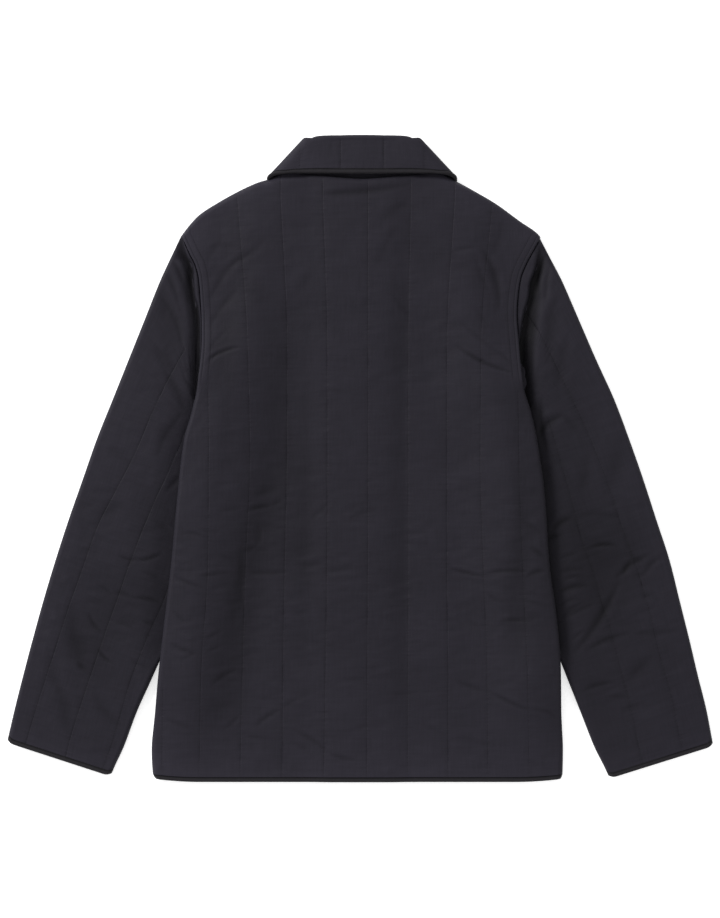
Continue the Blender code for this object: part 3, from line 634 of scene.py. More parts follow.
def creased(x, height, creases):
    """The relief of a table of creases: below 0 in the troughs, above 0 on the ridges beside them."""
    total = np.zeros(np.broadcast(x, height).shape)
    for crease in creases:
        along = np.array([crease.to_x - crease.x, crease.to_height - crease.height], float)
        length = np.hypot(*along)
        along /= length
        across, up = x - crease.x, height - crease.height
        share = np.clip((across * along[0] + up * along[1]) / length, 0, 1)
        off = up * along[0] - across * along[1] - crease.bow * 4 * share * (1 - share)
        width = crease.half_width * (0.45 + 0.5 * np.sin(np.pi * share))
        trough = np.exp(-np.abs(off / width) ** 1.5)
        ridges = np.exp(-((off / width - 2.0) ** 2)) + 0.5 * np.exp(-((off / width + 2.0) ** 2))
        total += crease.depth * np.sin(np.pi * share) ** 0.7 * (0.28 * ridges - trough)
    return total


def valleys(x, height, rows):
    """How deep the long hollows of a table are."""
    total = np.zeros(np.broadcast(x, height).shape)
    for row in rows:
        off = x - through(row.heights, row.places, height)
        width = np.where(off < 0, row.left_width, row.right_width)
        ends = ease((height - row.heights[0] + 12) / 12) * ease((row.heights[-1] + 10 - height) / 10)
        total += ends * through(row.heights, row.depths, height) * np.exp(-((off / width) ** 2))
    return total


def hollows(x, height, rows):
    """How deep the broad dents of a table are."""
    total = np.zeros(np.broadcast(x, height).shape)
    for row in rows:
        across, up = (x - row.x) / row.half_width, (height - row.height) / row.half_height
        total += row.depth * np.exp(-(across**2 + up**2))
    return total


def toned(relief, creases, worn, distance):
    """Painted light and shade on the cloth: painted shade in hollows, creases and seams, and the painted
    light and shade that is given.
    """
    dark = CREASE_TONE * np.maximum(-creases, 0) + SEAM_TONE * np.exp(-distance / SEAM_TONE_REACH)
    return 1 + HOLLOW_TONE * np.clip(relief, *HOLLOW_RANGE) + worn - dark


def waves(x, height, seed, wavelength, turn=(0.0, np.pi), count=10):
    """A gentle uneven swell, made of a few long waves whose crests lie within a range of directions."""
    source = np.random.default_rng(seed)
    total = np.zeros(np.broadcast(x, height).shape)
    for _ in range(count):
        angle = source.uniform(*turn)
        pitch = wavelength * source.uniform(0.65, 1.6)
        start = source.uniform(0, 2 * np.pi)
        total += np.cos(2 * np.pi * (x * np.cos(angle) + height * np.sin(angle)) / pitch + start)
    return total / np.sqrt(count)


def swell(x, height, seed):
    """The slack that is in all of the cloth: large, middling and small."""
    return sum(
        strength * waves(x, height, seed + number, pitch, count=count)
        for number, (strength, pitch, count) in enumerate(SWELL)
    )


def crumpled(x, height, seed):
    """Short shallow wrinkles, most of them level, in patches and most of all at the waist and elbows."""
    most = np.exp(-(((height - WRINKLED_HEIGHT) / WRINKLED_REACH) ** 2))
    patches = ease(0.5 + 0.55 * waves(x, height, seed, WRINKLE_PATCH)) * (0.55 + 0.75 * most)
    return patches * sum(
        strength * waves(x, height, seed + number, pitch, turn=turn, count=WRINKLE_WAVES)
        for number, (strength, pitch, turn) in enumerate(WRINKLES, 1)
    )


def pulled(distance, depth, along, share, width, channel, seed, sink=1.0):
    """What quilting does to the padding: it is pulled in at each seam, and puckered between two of them.

    distance is how far a point is from the nearest seam, and share how far it is across a channel of this
    width. sink is how much the channel sinks towards its second seam. Each channel has its own puckers.
    """
    uneven = waves(channel * 0.0, along, seed + 3, PULL_PITCH, turn=(1.4, 1.7))
    first = np.maximum(share * width, distance)
    second = np.maximum((1 - share) * width, distance)
    dip = sink * np.exp(-second / PAD_DIP_REACH) + FIRST_DIP * np.exp(-first / FIRST_DIP_REACH)
    groove = -depth * np.exp(-distance / PAD_REACH) - PAD_DIP * dip
    groove = groove * np.clip(PULL + PULL_SWELL * uneven, *PULL_RANGE)
    gather = waves(channel * 71.0, along, seed, GATHER_PITCH, turn=(1.45, 1.69), count=7)
    gather = GATHER * gather * np.exp(-distance / GATHER_REACH) * (1 - np.exp(-distance / GATHER_START))
    x, height = share * 46 + channel * 513.0, along + channel * 257.0
    slack = waves(x, height, seed + 5, CHANNEL_SLACK_PITCH, turn=(0.95, 2.2), count=12)
    slack = CHANNEL_SLACK * slack * np.sin(np.pi * np.clip(share, 0, 1)) ** 0.8
    return groove + gather + slack


def corner_rise(x, height):
    """How far the hem curves up at its two corners."""
    inside = np.minimum(x - body_edge(-1, height), body_edge(1, height) - x)
    near = np.clip(1 - np.abs(inside) / CORNER_REACH, 0, 1) ** 2
    return CORNER_RISE * near * ease((CORNER_HEIGHT - height) / CORNER_HEIGHT)


def to_frame(points):
    """From the tables' x, height and level in millimetres to metres in the frame."""
    points = np.array(points, float)
    points[..., 1] += corner_rise(points[..., 0], points[..., 1]) - HALF_LENGTH
    return points * MM


# ---------------------------------------------------------------- making pieces


def new_object(name, mesh):
    piece = bpy.data.objects.new(name, mesh)
    bpy.context.scene.collection.objects.link(piece)
    return piece


def select_only(piece):
    bpy.ops.object.select_all(action="DESELECT")
    piece.select_set(True)
    bpy.context.view_layer.objects.active = piece


def smooth_shaded(piece, degrees):
    """Shades a piece smooth but for its sharp edges, with nothing else selected."""
    select_only(piece)
    bpy.ops.object.shade_smooth_by_angle(angle=np.radians(degrees))
    bpy.ops.object.select_all(action="DESELECT")


def border(rows, count, tube):
    """The (row, column) points round the edges of a grid, one closed loop for each edge."""
    if tube:
        yield [(0, c) for c in range(count + 1)]
        yield [(rows - 1, c) for c in range(count, -1, -1)]
        return
    right, top = count - 1, rows - 1
    loop = [(0, c) for c in range(right)] + [(r, right) for r in range(top)]
    loop += [(top, c) for c in range(right, 0, -1)] + [(r, 0) for r in range(top, 0, -1)]
    yield loop + [(0, 0)]


def cloth_wall(name, outer, inner, plan, seam_distance, tone, material, coarse=4, tube=False):
    """One closed wall of cloth: a fine outer face, a coarser inner face, and the cut edges between them.

    outer and inner are grids of points in millimetres. plan is the flat cloth's own coordinates, for its
    weave. A tube's grids leave out the last column, which is the first again, but its plan has it.
    seam_distance is how far each point is from a seam, and the next argument the painted light and shade of
    the outer face.
    """
    rows, count = outer.shape[:2]
    whole = count if tube else count - 1
    inner_rows = sorted(set(range(0, rows, coarse)) | {rows - 1})
    inner_columns = sorted(set(range(0, whole, coarse)) | {whole})
    kept = inner_columns[:-1] if tube else inner_columns
    inner_at = {
        (r, c): rows * count + i * len(kept) + j % len(kept)
        for i, r in enumerate(inner_rows)
        for j, c in enumerate(inner_columns)
    }

    def outer_at(row, column):
        return row * count + column % count

    faces, corners = [], []
    for r in range(rows - 1):
        for c in range(whole):
            corner = ((r, c), (r, c + 1), (r + 1, c + 1), (r + 1, c))
            faces.append([outer_at(*at) for at in corner])
            corners.append(corner)
    for low, high in zip(inner_rows, inner_rows[1:]):
        for left, right in zip(inner_columns, inner_columns[1:]):
            corner = ((low, left), (high, left), (high, right), (low, right))
            faces.append([inner_at[at] for at in corner])
            corners.append(corner)
    for loop in border(rows, count, tube):
        start = 0
        for end in range(1, len(loop)):
            if loop[end] in inner_at:
                path = loop[start : end + 1]
                faces.append([inner_at[path[0]], inner_at[path[-1]]] + [outer_at(*at) for at in path[::-1]])
                corners.append([path[0], path[-1]] + path[::-1])
                start = end
    points = np.concatenate([outer.reshape(-1, 3), inner[np.ix_(inner_rows, kept)].reshape(-1, 3)])
    mesh = bpy.data.meshes.new(name)
    mesh.from_pydata(to_frame(points).tolist(), [], faces)
    flat = [plan[r, c] * MM for corner in corners for r, c in corner]
    mesh.uv_layers.new(name="cloth").data.foreach_set("uv", np.array(flat, np.float32).ravel())
    near = np.concatenate([seam_distance.ravel(), seam_distance[np.ix_(inner_rows, kept)].ravel()])
    mesh.attributes.new("seam", "FLOAT", "POINT").data.foreach_set("value", (near * MM).astype(np.float32))
    lightness = np.ones(len(points), np.float32)
    lightness[: rows * count] = np.broadcast_to(tone, outer.shape[:2]).ravel()
    mesh.attributes.new("tone", "FLOAT", "POINT").data.foreach_set("value", lightness)
    mesh.materials.append(material)
    piece = new_object(name, mesh)
    select_only(piece)
    bpy.ops.object.mode_set(mode="EDIT")
    bpy.ops.mesh.select_all(action="SELECT")
    bpy.ops.mesh.normals_make_consistent(inside=False)
    bpy.ops.object.mode_set(mode="OBJECT")
    smooth_shaded(piece, 48)
    return piece


def stations(lines, middle):
    """Columns across a quilted width, closer beside its lines: (number of the line, share, offset)."""
    found = []
    spread = np.linspace(-MIDDLE_SPREAD, MIDDLE_SPREAD, middle)
    for number in range(lines - 1):
        found += [(number, 0.0, offset) for offset in SEAM_OFFSETS]
        found += [(number, 0.5 + 0.5 * share, 0.0) for share in spread]
        found += [(number, 1.0, -offset) for offset in SEAM_OFFSETS[:0:-1]]
    return found + [(lines - 2, 1.0, 0.0)]


def across_lines(lines, middle, normal_width=46.0):
    """Places columns between lines: lines is (line, ...) and the result (..., column)."""
    number, share, offset = map(np.array, zip(*stations(len(lines), middle)))
    left = np.moveaxis(lines[number], 0, -1)
    right = np.moveaxis(lines[number + 1], 0, -1)
    tight = np.clip((right - left) / normal_width, 0, 1)
    edge = np.where(share < 0.5, left, right) + offset * tight
    room = SEAM_OFFSETS[-1] * tight
    between = left + room + (right - left - 2 * room) * middle_share(share)
    return np.where((offset != 0) | (share == 0) | (share == 1), edge, between)


def middle_share(share):
    """Spreads the columns in the middle of a channel between its outermost two."""
    low, high = 0.5 - MIDDLE_SPREAD / 2, 0.5 + MIDDLE_SPREAD / 2
    return 0.06 + 0.88 * (share - low) / (high - low)


def channel_bounds(bounds, channel):
    """The lines on both sides of each point's channel."""
    left = np.take_along_axis(bounds, channel[None], 0)[0]
    right = np.take_along_axis(bounds, channel[None] + 1, 0)[0]
    return left, right


# ---------------------------------------------------------------- the back

ARMHOLE_COLUMNS = np.array([0.0, 0.35, 0.8, 1.6, 2.6, 3.2, 3.6, 4.0, 4.7, 6.2, 8.4, 9.8, 10.6, 11.4, 14.2])
TURN_RADIUS = SIDE_TURN + BACK_WALL
SIDE_ANGLES = np.radians([90, 80, 70, 60, 50, 40, 30, 20, 10, 0])
SIDE_COLUMNS = np.concatenate([TURN_RADIUS * (1 - np.sin(SIDE_ANGLES)), [7.8, 8.3, 8.8, 9.3, 9.8]])
LEVEL_ROWS = np.arange(HEM_GAP, 589.0, 2.0)
UPPER_ROWS = 44
BACK_SEED = 11
BACK_WRINKLED = 1.35  # how much more the back is wrinkled than the sleeves
SHOULDER_RAMP = 14.0

# The pressed strip along the armhole, and its two rows of stitches: how far in, how deep and how wide.
ARMHOLE_STRIP, ARMHOLE_STRIP_RAMP, ARMHOLE_STRIP_RISE = 13.5, 3.0, 0.15
ARMHOLE_ROUND = 1.5
ARMHOLE_ROWS = ((3.6, 0.35, 0.5), (10.6, 0.4, 0.7))
# Painted shade along the two rows of stitching, in their grooves.
ARMHOLE_ROW_TONE = 0.25

# How far the back sinks towards its left and right side edges, and under the collar's lower edge.
EDGE_FALLS, EDGE_FALL_REACH = (2.6, 3.6), 40.0
COLLAR_DIP, COLLAR_DIP_BELOW, COLLAR_DIP_REACH = 2.6, 2.0, 3.0
COLLAR_DIP_FROM, COLLAR_DIP_TO = 56.0, 118.0

# How much painted light lightens the back along its hem, sides, armholes and shoulders, or painted shade
# darkens it beside the right sleeve, with the left side's share first in each pair.
HEM_PAINTED_LIGHT, HEM_PAINTED_LIGHT_REACH = 0.3, 24.0
LOWER_PAINTED_LIGHT, LOWER_PAINTED_LIGHT_REACH = 0.09, 120.0
SHOULDER_PAINTED_LIGHT, SHOULDER_PAINTED_LIGHT_REACH = (0.34, 0.24), 14.0
SIDE_PAINTED_LIGHT, SIDE_PAINTED_LIGHT_REACH = (0.2, 0.04), 12.0
ARMHOLE_PAINTED_LIGHT, ARMHOLE_PAINTED_LIGHT_REACH = (0.26, 0.0), 10.0
SIDE_DARK, SIDE_DARK_REACH = (0.0, 0.12), 12.0


def below_underarm(height):
    """1 below the underarm, where the back turns down to the side seam, and 0 at the armhole."""
    return ease((UNDERARM + 18 - height) / 26)


def seam_lines(height):
    """x of each quilting seam of the back at a height."""
    rows = [through(SEAM_HEIGHTS, seam[:-1], height) for seam in BACK_SEAMS]
    rows[0] = np.maximum(rows[0], body_edge(-1, height) + 5)
    rows[1] = np.maximum(rows[1], rows[0] + 3)
    rows[-1] = np.minimum(rows[-1], body_edge(1, height) - 5)
    return np.array(rows)


def sewn(height):
    """How much each seam pulls at a height: 1 where it is sewn, 0 past its end."""
    return np.array([ease((seam.ends - height) / 10 + 0.5) for seam in BACK_SEAMS])


def back_base(x, height):
    """The level of the back's inner face."""
    over = ease((OVERLAP + BACK_RAMP - np.abs(x)) / (BACK_RAMP - 10))
    return BACK_LEVEL + over * (FRONT_WALL + STEP_HEIGHT + 0.4 - BACK_LEVEL) + back_lift(x, height)


def at_shoulder(x):
    """1 along the shoulder seams, and 0 at the neck."""
    return ease((np.abs(x - NECK_CENTRE) - NECK_HALF_WIDTH) / SHOULDER_RAMP)


def back_inset(x, height):
    """How far in a point is from the back's nearer side edge, square to that edge."""
    left, right = x - body_edge(-1, height), body_edge(1, height) - x
    slant = np.where(x < 0, edge_slant(-1, height), edge_slant(1, height))
    return np.maximum(np.where(x < 0, left, right), 0) * slant


def back_padding(x, height):
    """The relief that the quilting gives the back, and how far each point is from a seam."""
    lines = seam_lines(height)
    distance = np.min(np.abs(x - lines) + UNSEWN * (1 - sewn(height)), axis=0)
    channel = np.sum(x > lines, axis=0)
    bounds = np.concatenate([[body_edge(-1, height)], lines, [body_edge(1, height)]])
    left, right = channel_bounds(bounds, channel)
    width = np.maximum(right - left, 1)
    share, sink = (x - left) / width, np.array(BACK_SINKS)[channel]
    return pulled(distance, PAD_VALLEY, height, share, width, channel, BACK_SEED, sink), distance


def back_painted_light_and_shade(x, height, inset, from_top):
    """Painted light on the back along its hem, sides, armholes and shoulders, painted shade beside the right
    sleeve, and painted light and shade in patches.
    """

    def by_side(pair):
        return np.where(x < 0, *pair)

    at_armhole = 1 - below_underarm(height)
    beside_sleeve = ease((height - 150) / 60) * ease((400 - height) / 80)
    worn = HEM_PAINTED_LIGHT * np.exp(-height / HEM_PAINTED_LIGHT_REACH)
    worn += LOWER_PAINTED_LIGHT * np.exp(-((height / LOWER_PAINTED_LIGHT_REACH) ** 2))
    worn += by_side(SHOULDER_PAINTED_LIGHT) * at_shoulder(x) * np.exp(-np.maximum(from_top, 0) / SHOULDER_PAINTED_LIGHT_REACH)
    worn += by_side(SIDE_PAINTED_LIGHT) * np.exp(-inset / SIDE_PAINTED_LIGHT_REACH) * ease((140 - height) / 40)
    worn += by_side(ARMHOLE_PAINTED_LIGHT) * np.exp(-inset / ARMHOLE_PAINTED_LIGHT_REACH) * at_armhole
    worn -= by_side(SIDE_DARK) * np.exp(-((inset / SIDE_DARK_REACH) ** 2)) * beside_sleeve
    return worn - hollows(x, height, BODY_PAINTED_SHADING)


def back_face(x, height):
    """The level of the back's outer face, how far each point is from a seam, and its painted light and shade.
    """
    level = back_base(x, height) + PAD_CREST
    padding, distance = back_padding(x, height)
    inset = back_inset(x, height)
    from_top = back_top(x) - height
    turned = below_underarm(height)
    worn = back_painted_light_and_shade(x, height, inset, from_top)
    # at the armhole: a pressed strip with two rows of stitching and painted shade along them, and a rounded
    # edge
    strip = ease((ARMHOLE_STRIP - inset) / ARMHOLE_STRIP_RAMP) * (1 - turned)
    level += strip * (ARMHOLE_WALL - PAD_CREST + ARMHOLE_STRIP_RISE)
    padding *= 1 - 0.75 * strip
    for row, depth, reach in ARMHOLE_ROWS:
        near = np.exp(-np.abs(inset - row) / reach) * (1 - turned)
        level -= depth * near
        worn -= ARMHOLE_ROW_TONE * near
    level -= (1 - turned) * rounded(inset, ARMHOLE_ROUND)
    # below it: the body sinks gently towards its side, then turns down to the side seam
    fall = np.where(x < 0, *EDGE_FALLS) * ease((height - 8) / 50)
    sunk = fall * np.clip(1 - inset / EDGE_FALL_REACH, 0, 1) ** 2
    level -= turned * (sunk + rounded(inset, TURN_RADIUS - fall))
    shoulder = at_shoulder(x)
    level -= shoulder * rounded(from_top, TURN_RADIUS)
    level -= (1 - shoulder) * NECK_ROLL_SHARE * rounded(from_top, NECK_ROLL)
    level -= collar_dip(x, height)
    creases = creased(x, height, BODY_CREASES)
    slack = swell(x, height, 21) + CREASE_SHARE * creases - valleys(x, height, BODY_VALLEYS)
    slack += BACK_WRINKLED * crumpled(x, height, 27)
    quiet = ease(inset / 14 + 0.15) * ease(from_top / 14 + 0.2) * ease((height - HEM_GAP) / 10 + 0.35)
    relief = (padding + slack) * quiet
    # painted shade where the right side sinks and in hollows, creases and seams, and painted light on the
    # rises
    tone = toned(relief - 0.5 * turned * sunk * (x > 0), creases * quiet, worn, distance)
    return level + relief, distance, tone


def collar_dip(x, height):
    """The dip of the back along the collar's lower edge, where the collar presses on the shoulders."""
    out = np.abs(x - NECK_CENTRE)
    above = height - through(COLLAR_REACH, COLLAR_FOOT, out) + COLLAR_DIP_BELOW
    ends = ease((out - COLLAR_DIP_FROM) / 14) * ease((COLLAR_DIP_TO - out) / 8)
    return COLLAR_DIP * np.exp(-((above / COLLAR_DIP_REACH) ** 2)) * ends


def rounded(distance, radius):
    """How far a rounded edge has dropped at a distance from where it ends."""
    inside = np.clip(radius - distance, 0, radius)
    return radius - np.sqrt(np.maximum(radius**2 - inside**2, 0))


def back_columns(height):
    """x of all the back's columns at a height, with the edges' columns first and last."""
    turned = below_underarm(height)[..., None]
    seams = seam_lines(height)
    sides = []
    for side, seam in ((-1, seams[0]), (1, seams[-1])):
        edge = body_edge(side, height)[..., None]
        room = np.clip(side * (edge - seam[..., None]) - 0.8, 3.0, SIDE_COLUMNS[-1])
        slant = np.where(turned < 1, edge_slant(side, height)[..., None], 1)
        insets = ARMHOLE_COLUMNS / slant * (1 - turned) + SIDE_COLUMNS * room / SIDE_COLUMNS[-1] * turned
        sides.append(edge - side * insets)
    left, right = sides
    lines = np.concatenate([[left[..., -1]], seams, [right[..., -1]]])
    lines[1] = np.maximum(lines[1], lines[0] + 0.6)
    lines[2] = np.maximum(lines[2], lines[1] + 1.5)
    lines[-2] = np.minimum(lines[-2], lines[-1] - 0.6)
    middle = across_lines(lines, 10)
    return np.concatenate([left[..., :-1], middle, right[..., -2::-1]], axis=-1)


def heights_up(columns_at, top_of, below_top):
    """Heights of a panel's rows: level ones low down, then shares of the way up to each column's own top."""
    count = columns_at(np.array([300.0])).shape[-1]
    top = np.full(count, 640.0)
    for _ in range(10):
        top = top_of(np.diagonal(columns_at(top)))
    end = top - below_top[0]
    shares = np.linspace(0, 1, UPPER_ROWS + 1)[1:]
    start = LEVEL_ROWS[-1]
    low = np.repeat(LEVEL_ROWS[:, None], count, axis=1)
    upper = start + (end - start) * shares[:, None]
    last = top - np.array(below_top[1:])[:, None]
    return np.concatenate([low, upper, last]), top


def along_columns(columns_at, heights):
    """x of each point of a grid whose rows aren't level: column c is read at its own height."""
    return np.array([np.diagonal(columns_at(row)) for row in heights])


def back_grids():
    """The back's outer and inner points, flat plan, distance from a seam and painted light and shade."""
    turn = TURN_RADIUS * (1 - np.sin(SIDE_ANGLES[::-1]))
    heights, top = heights_up(back_columns, back_top, tuple(turn))
    x = along_columns(back_columns, heights)
    level, distance, tone = back_face(x, heights)
    outer = np.stack([x, heights, level], axis=-1)
    side = np.sign(x)
    turned = below_underarm(heights)
    inset = np.where(x < 0, x - body_edge(-1, heights), body_edge(1, heights) - x)
    inward = turned * np.clip(1 - inset / TURN_RADIUS, 0, 1) * BACK_WALL
    from_top = top - heights
    shoulder = at_shoulder(x)
    down = shoulder * np.clip(1 - from_top / TURN_RADIUS, 0, 1) * BACK_WALL
    drop = turned * rounded(inset, TURN_RADIUS) + shoulder * rounded(from_top, TURN_RADIUS)
    base = back_base(x, heights) - np.minimum(drop, TURN_RADIUS) * SIDE_TURN / TURN_RADIUS
    inner = np.stack([x - side * inward, heights - down, base], axis=-1)
    return outer, inner, np.stack([x, heights], axis=-1), distance, tone


# ---------------------------------------------------------------- the fronts

# Columns of points in from a front's side edge, and from one of its seams to the next.
FRONT_EDGE = np.array([0.0, 0.4, 1.0, 1.8, 2.8, 4.0, 6.0, 10.0])
FRONT_CHANNEL = np.array([0.0, 0.7, 1.8, 3.6, 7.0, 12, 18, 24, 30, 36, 40.5, 43.9, 45.7, 46.8])
FRONT_SEAM_PITCH, FRONT_SEAM_START = 47.5, 8.0
FRONT_VALLEY, FRONT_THINNEST = 1.1, 0.9
FRONT_ROUND = 3.4


def front_base(side, x, height):
    """The level of a front's inner face: the left front steps up where it lies over the right one."""
    step = ease((x + OVERLAP + STEP_RAMP) / (STEP_RAMP - 3)) if side < 0 else 0.0
    return FRONT_WALL + STEP_HEIGHT * step + lift(x, height)


def front_columns(side, height):
    """x of a front's columns at a height, from its side edge to the middle."""
    edge = body_edge(side, height)[..., None]
    middle = -side * OVERLAP
    first = edge - side * FRONT_EDGE
    seams = side * FRONT_SEAM_PITCH * np.array([4.0, 3.0, 2.0, 1.0, 0.0]) + side * FRONT_SEAM_START
    inner = (seams[:, None] - side * FRONT_CHANNEL).ravel()
    inner = inner[side * inner > side * middle]
    spread = (first[..., -1:] - middle) * side
    shares = (seams[0] + side * 20 - inner) / (seams[0] + side * 20 - middle)
    inner = first[..., -1:] - side * spread * shares
    return np.concatenate([first, inner, np.full_like(edge, middle)], axis=-1)


def front_grids(side):
    """A front's grids, as back_grids has them. It lies flat on its outer face, in shallow channels."""

    def columns(height):
        return front_columns(side, height)

    heights, top = heights_up(columns, front_top, (4.0, 2.4, 1.2, 0.5, 0.0))
    x = along_columns(columns, heights)
    inset = side * (body_edge(side, heights) - x)
    from_top = top - heights
    wall = FRONT_WALL - rounded(inset, FRONT_ROUND) - rounded(from_top, FRONT_ROUND)
    across = (side * x - FRONT_SEAM_START) / FRONT_SEAM_PITCH
    distance = np.abs(across - np.round(across)) * FRONT_SEAM_PITCH
    groove = FRONT_VALLEY * np.exp(-distance / PAD_REACH) * ease(inset / 20 - 0.4)
    wall = np.maximum(wall - groove, FRONT_THINNEST)
    base = front_base(side, x, heights)
    outer = np.stack([x, heights, base - wall], axis=-1)
    inner = np.stack([x, heights, base], axis=-1)
    return outer, inner, np.stack([x, heights], axis=-1), distance, 1.0


# ---------------------------------------------------------------- the sleeves

# beside is how far the sleeve is pressed down along the body, over what width, and how much painted shade
# darkens it there. The next two are the painted light along its outer edge and the painted shade over all of
# it, and seam_dark is how much more painted shade it has in its seams than the back.
SleeveShape = namedtuple(
    "SleeveShape", "side name sections sewn creases hollows folds beside worn tone seam_dark seed"
)
SLEEVES = (
    SleeveShape(
        side=-1,
        name="left",
        sections=LEFT_SLEEVE,
        sewn=LEFT_SEWN,
        creases=LEFT_SLEEVE_CREASES,
        hollows=LEFT_HOLLOWS,
        folds=LEFT_FOLDS,
        beside=(4.6, 20.0, 0.12),
        worn=0.05,
        tone=-0.03,
        seam_dark=0.13,
        seed=41,
    ),
    SleeveShape(
        side=1,
        name="right",
        sections=RIGHT_SLEEVE,
        sewn=RIGHT_SEWN,
        creases=RIGHT_SLEEVE_CREASES,
        hollows=RIGHT_HOLLOWS,
        folds=RIGHT_FOLDS,
        beside=(5.0, 15.0, 0.66),
        worn=0.13,
        tone=-0.09,
        seam_dark=0.04,
        seed=61,
    ),
)
ROWS_PER_SECTION = 22
THINNEST = 1.2  # the least wall that is left where a sleeve is pressed down
LOWEST = 3.0  # the lowest that the top of a sleeve can be pressed
CUFF_ROUND, CUFF_ROUND_REACH = 3.4, 9.0
TUCK = (3.4, 2.2, 1.0)  # rows of the sleeve's head that lie under the armhole's edge
HEAD_HALF, HEAD_LEVEL, HEAD_REACH = 1.25, 6.0, 0.5  # half the sleeve's thickness there, and how high it lies
SEAM_START = 0.3  # over how much of a section the pull of a seam starts
CALM_EDGE = 12.0  # how far in from its folds the sleeve is less uneven

# A section's length as the puckers, the weave and the worn cuff take it.
PUCKER_SECTION, WEAVE_SECTION, CUFF_SECTION = 45.0, 44.0, 42.0

# Heights where a sleeve starts and ends to be pressed down beside the body, and to have painted shade there.
PRESSED_TOP, DARK_TOP, PRESSED_TOP_RAMP = UNDERARM + 12, UNDERARM + 60, 36.0
PRESSED_FOOT, PRESSED_FOOT_RAMP = 112.0, 50.0
DARK_REACH, DEEP_FOLD = 3.0, 8.0

# Painted light along a sleeve's outer edge, at its cuff, and along its inner edge near the cuff.
OUTER_PAINTED_LIGHT_REACH = 22.0
CUFF_PAINTED_LIGHT, CUFF_PAINTED_LIGHT_REACH = 0.22, 16.0
INNER_PAINTED_LIGHT, INNER_PAINTED_LIGHT_REACH, INNER_PAINTED_LIGHT_FROM = 0.1, 12.0, 10.2
OUTER_FOLD = np.radians([-180, -160, -140, -122, -106, -90, -74, -58, -42, -26, -12])
INNER_FOLD = np.radians([12, 26, 42, 58, 74, 90, 106, 122, 140, 160, 180])


def sleeve_ends(shape, at, shorten=0.0):
    """The outer and inner ends of a sleeve's sections, numbered from 0 at the armhole to 14 at the cuff."""
    numbers = np.arange(len(shape.sections), dtype=float)
    ends = []
    for name in ("outer", "inner"):
        x = table(shape.sections, name + "_x")
        height = table(shape.sections, name + "_height")
        up = np.array([x[-2] - x[-1], height[-2] - height[-1]])
        shift = up / np.hypot(*up) * shorten
        x[-1] += shift[0]
        height[-1] += shift[1]
        ends.append(np.stack([through(numbers, x, at), through(numbers, height, at)], axis=-1))
    return ends


def seam_shares(shape, at):
    """Where the quilting seams lie round a sleeve, at numbers along its sections."""
    numbers = np.arange(len(shape.sections), dtype=float)
    shares = np.array([section.seams for section in shape.sections])
    return np.array([through(numbers, column, at) for column in shares.T])


def armhole_bow(side, share):
    """How far the armhole bows off a straight line, at a share of the way from shoulder to underarm."""
    first = (LEFT_SLEEVE if side < 0 else RIGHT_SLEEVE)[0]
    height = first.outer_height + (first.inner_height - first.outer_height) * share
    straight = first.outer_x + (first.inner_x - first.outer_x) * share
    return (body_edge(side, height) + side * 0.5 - straight) * ease((1 - share) / 0.1)


def from_armhole(side, x, height):
    """How far a point of the sleeve is from the armhole's seam."""
    out = np.maximum(side * (x - body_edge(side, height)), 0) * edge_slant(side, height)
    return np.hypot(out, np.maximum(UNDERARM - height, 0))


def pressed(shape, x, height):
    """How far a sleeve is pressed down beside the body and in its head's folds, and the painted shade there.
    """
    depth, reach, dark = shape.beside
    out = np.maximum(shape.side * (x - body_edge(shape.side, height)), 0)
    foot = ease((height - PRESSED_FOOT) / PRESSED_FOOT_RAMP)
    near = ease((PRESSED_TOP - height) / PRESSED_TOP_RAMP) * foot
    beside = ease((DARK_TOP - height) / PRESSED_TOP_RAMP) * foot
    folds = valleys(x, height, shape.folds)
    shade = 1 - dark * beside * np.exp(-out / DARK_REACH)
    shade = shade * (1 - FOLD_SHADE * ease(folds / DEEP_FOLD))
    return np.maximum(depth * near * np.exp(-((out / reach) ** 2)), folds), shade


def sleeve_padding(shape, at, reach_share, flat):
    """The relief that the quilting gives a sleeve, and how far each point is from a seam."""
    seams = seam_shares(shape, at)
    first = np.array([span[0] for span in shape.sewn])[(...,) + (None,) * np.ndim(at)]
    pull = ease((at - first) / SEAM_START)
    distance = np.min(np.abs(reach_share - seams) * flat + UNSEWN * (1 - pull), axis=0)
    edge = np.zeros((1,) + np.shape(at))
    channel = np.sum(reach_share > seams, axis=0)
    left, right = channel_bounds(np.concatenate([edge, seams, edge + 1]), channel)
    share = (reach_share - left) / np.maximum(right - left, 0.02)
    share = share if shape.side < 0 else 1 - share
    width = (right - left) * flat
    along = at * PUCKER_SECTION
    padding = pulled(distance, SLEEVE_VALLEY, along, share, width, channel, shape.seed)
    return padding + (SLEEVE_CREST - SLEEVE_WALL), distance


def sleeve_painted_light_and_shade(shape, at, reach, width, distance):
    """Painted light at a sleeve's edges and its cuff, and painted shade over all of it and in its seams."""
    to_cuff = (len(shape.sections) - 1 - at) * CUFF_SECTION
    worn = shape.tone + shape.worn * np.exp(-reach / OUTER_PAINTED_LIGHT_REACH)
    worn = worn + CUFF_PAINTED_LIGHT * np.exp(-to_cuff / CUFF_PAINTED_LIGHT_REACH)
    inner = INNER_PAINTED_LIGHT * np.exp(-(width - reach) / INNER_PAINTED_LIGHT_REACH)
    worn = worn + inner * ease((at - INNER_PAINTED_LIGHT_FROM) / 1.2)
    return worn - shape.seam_dark * np.exp(-distance / SEAM_TONE_REACH)


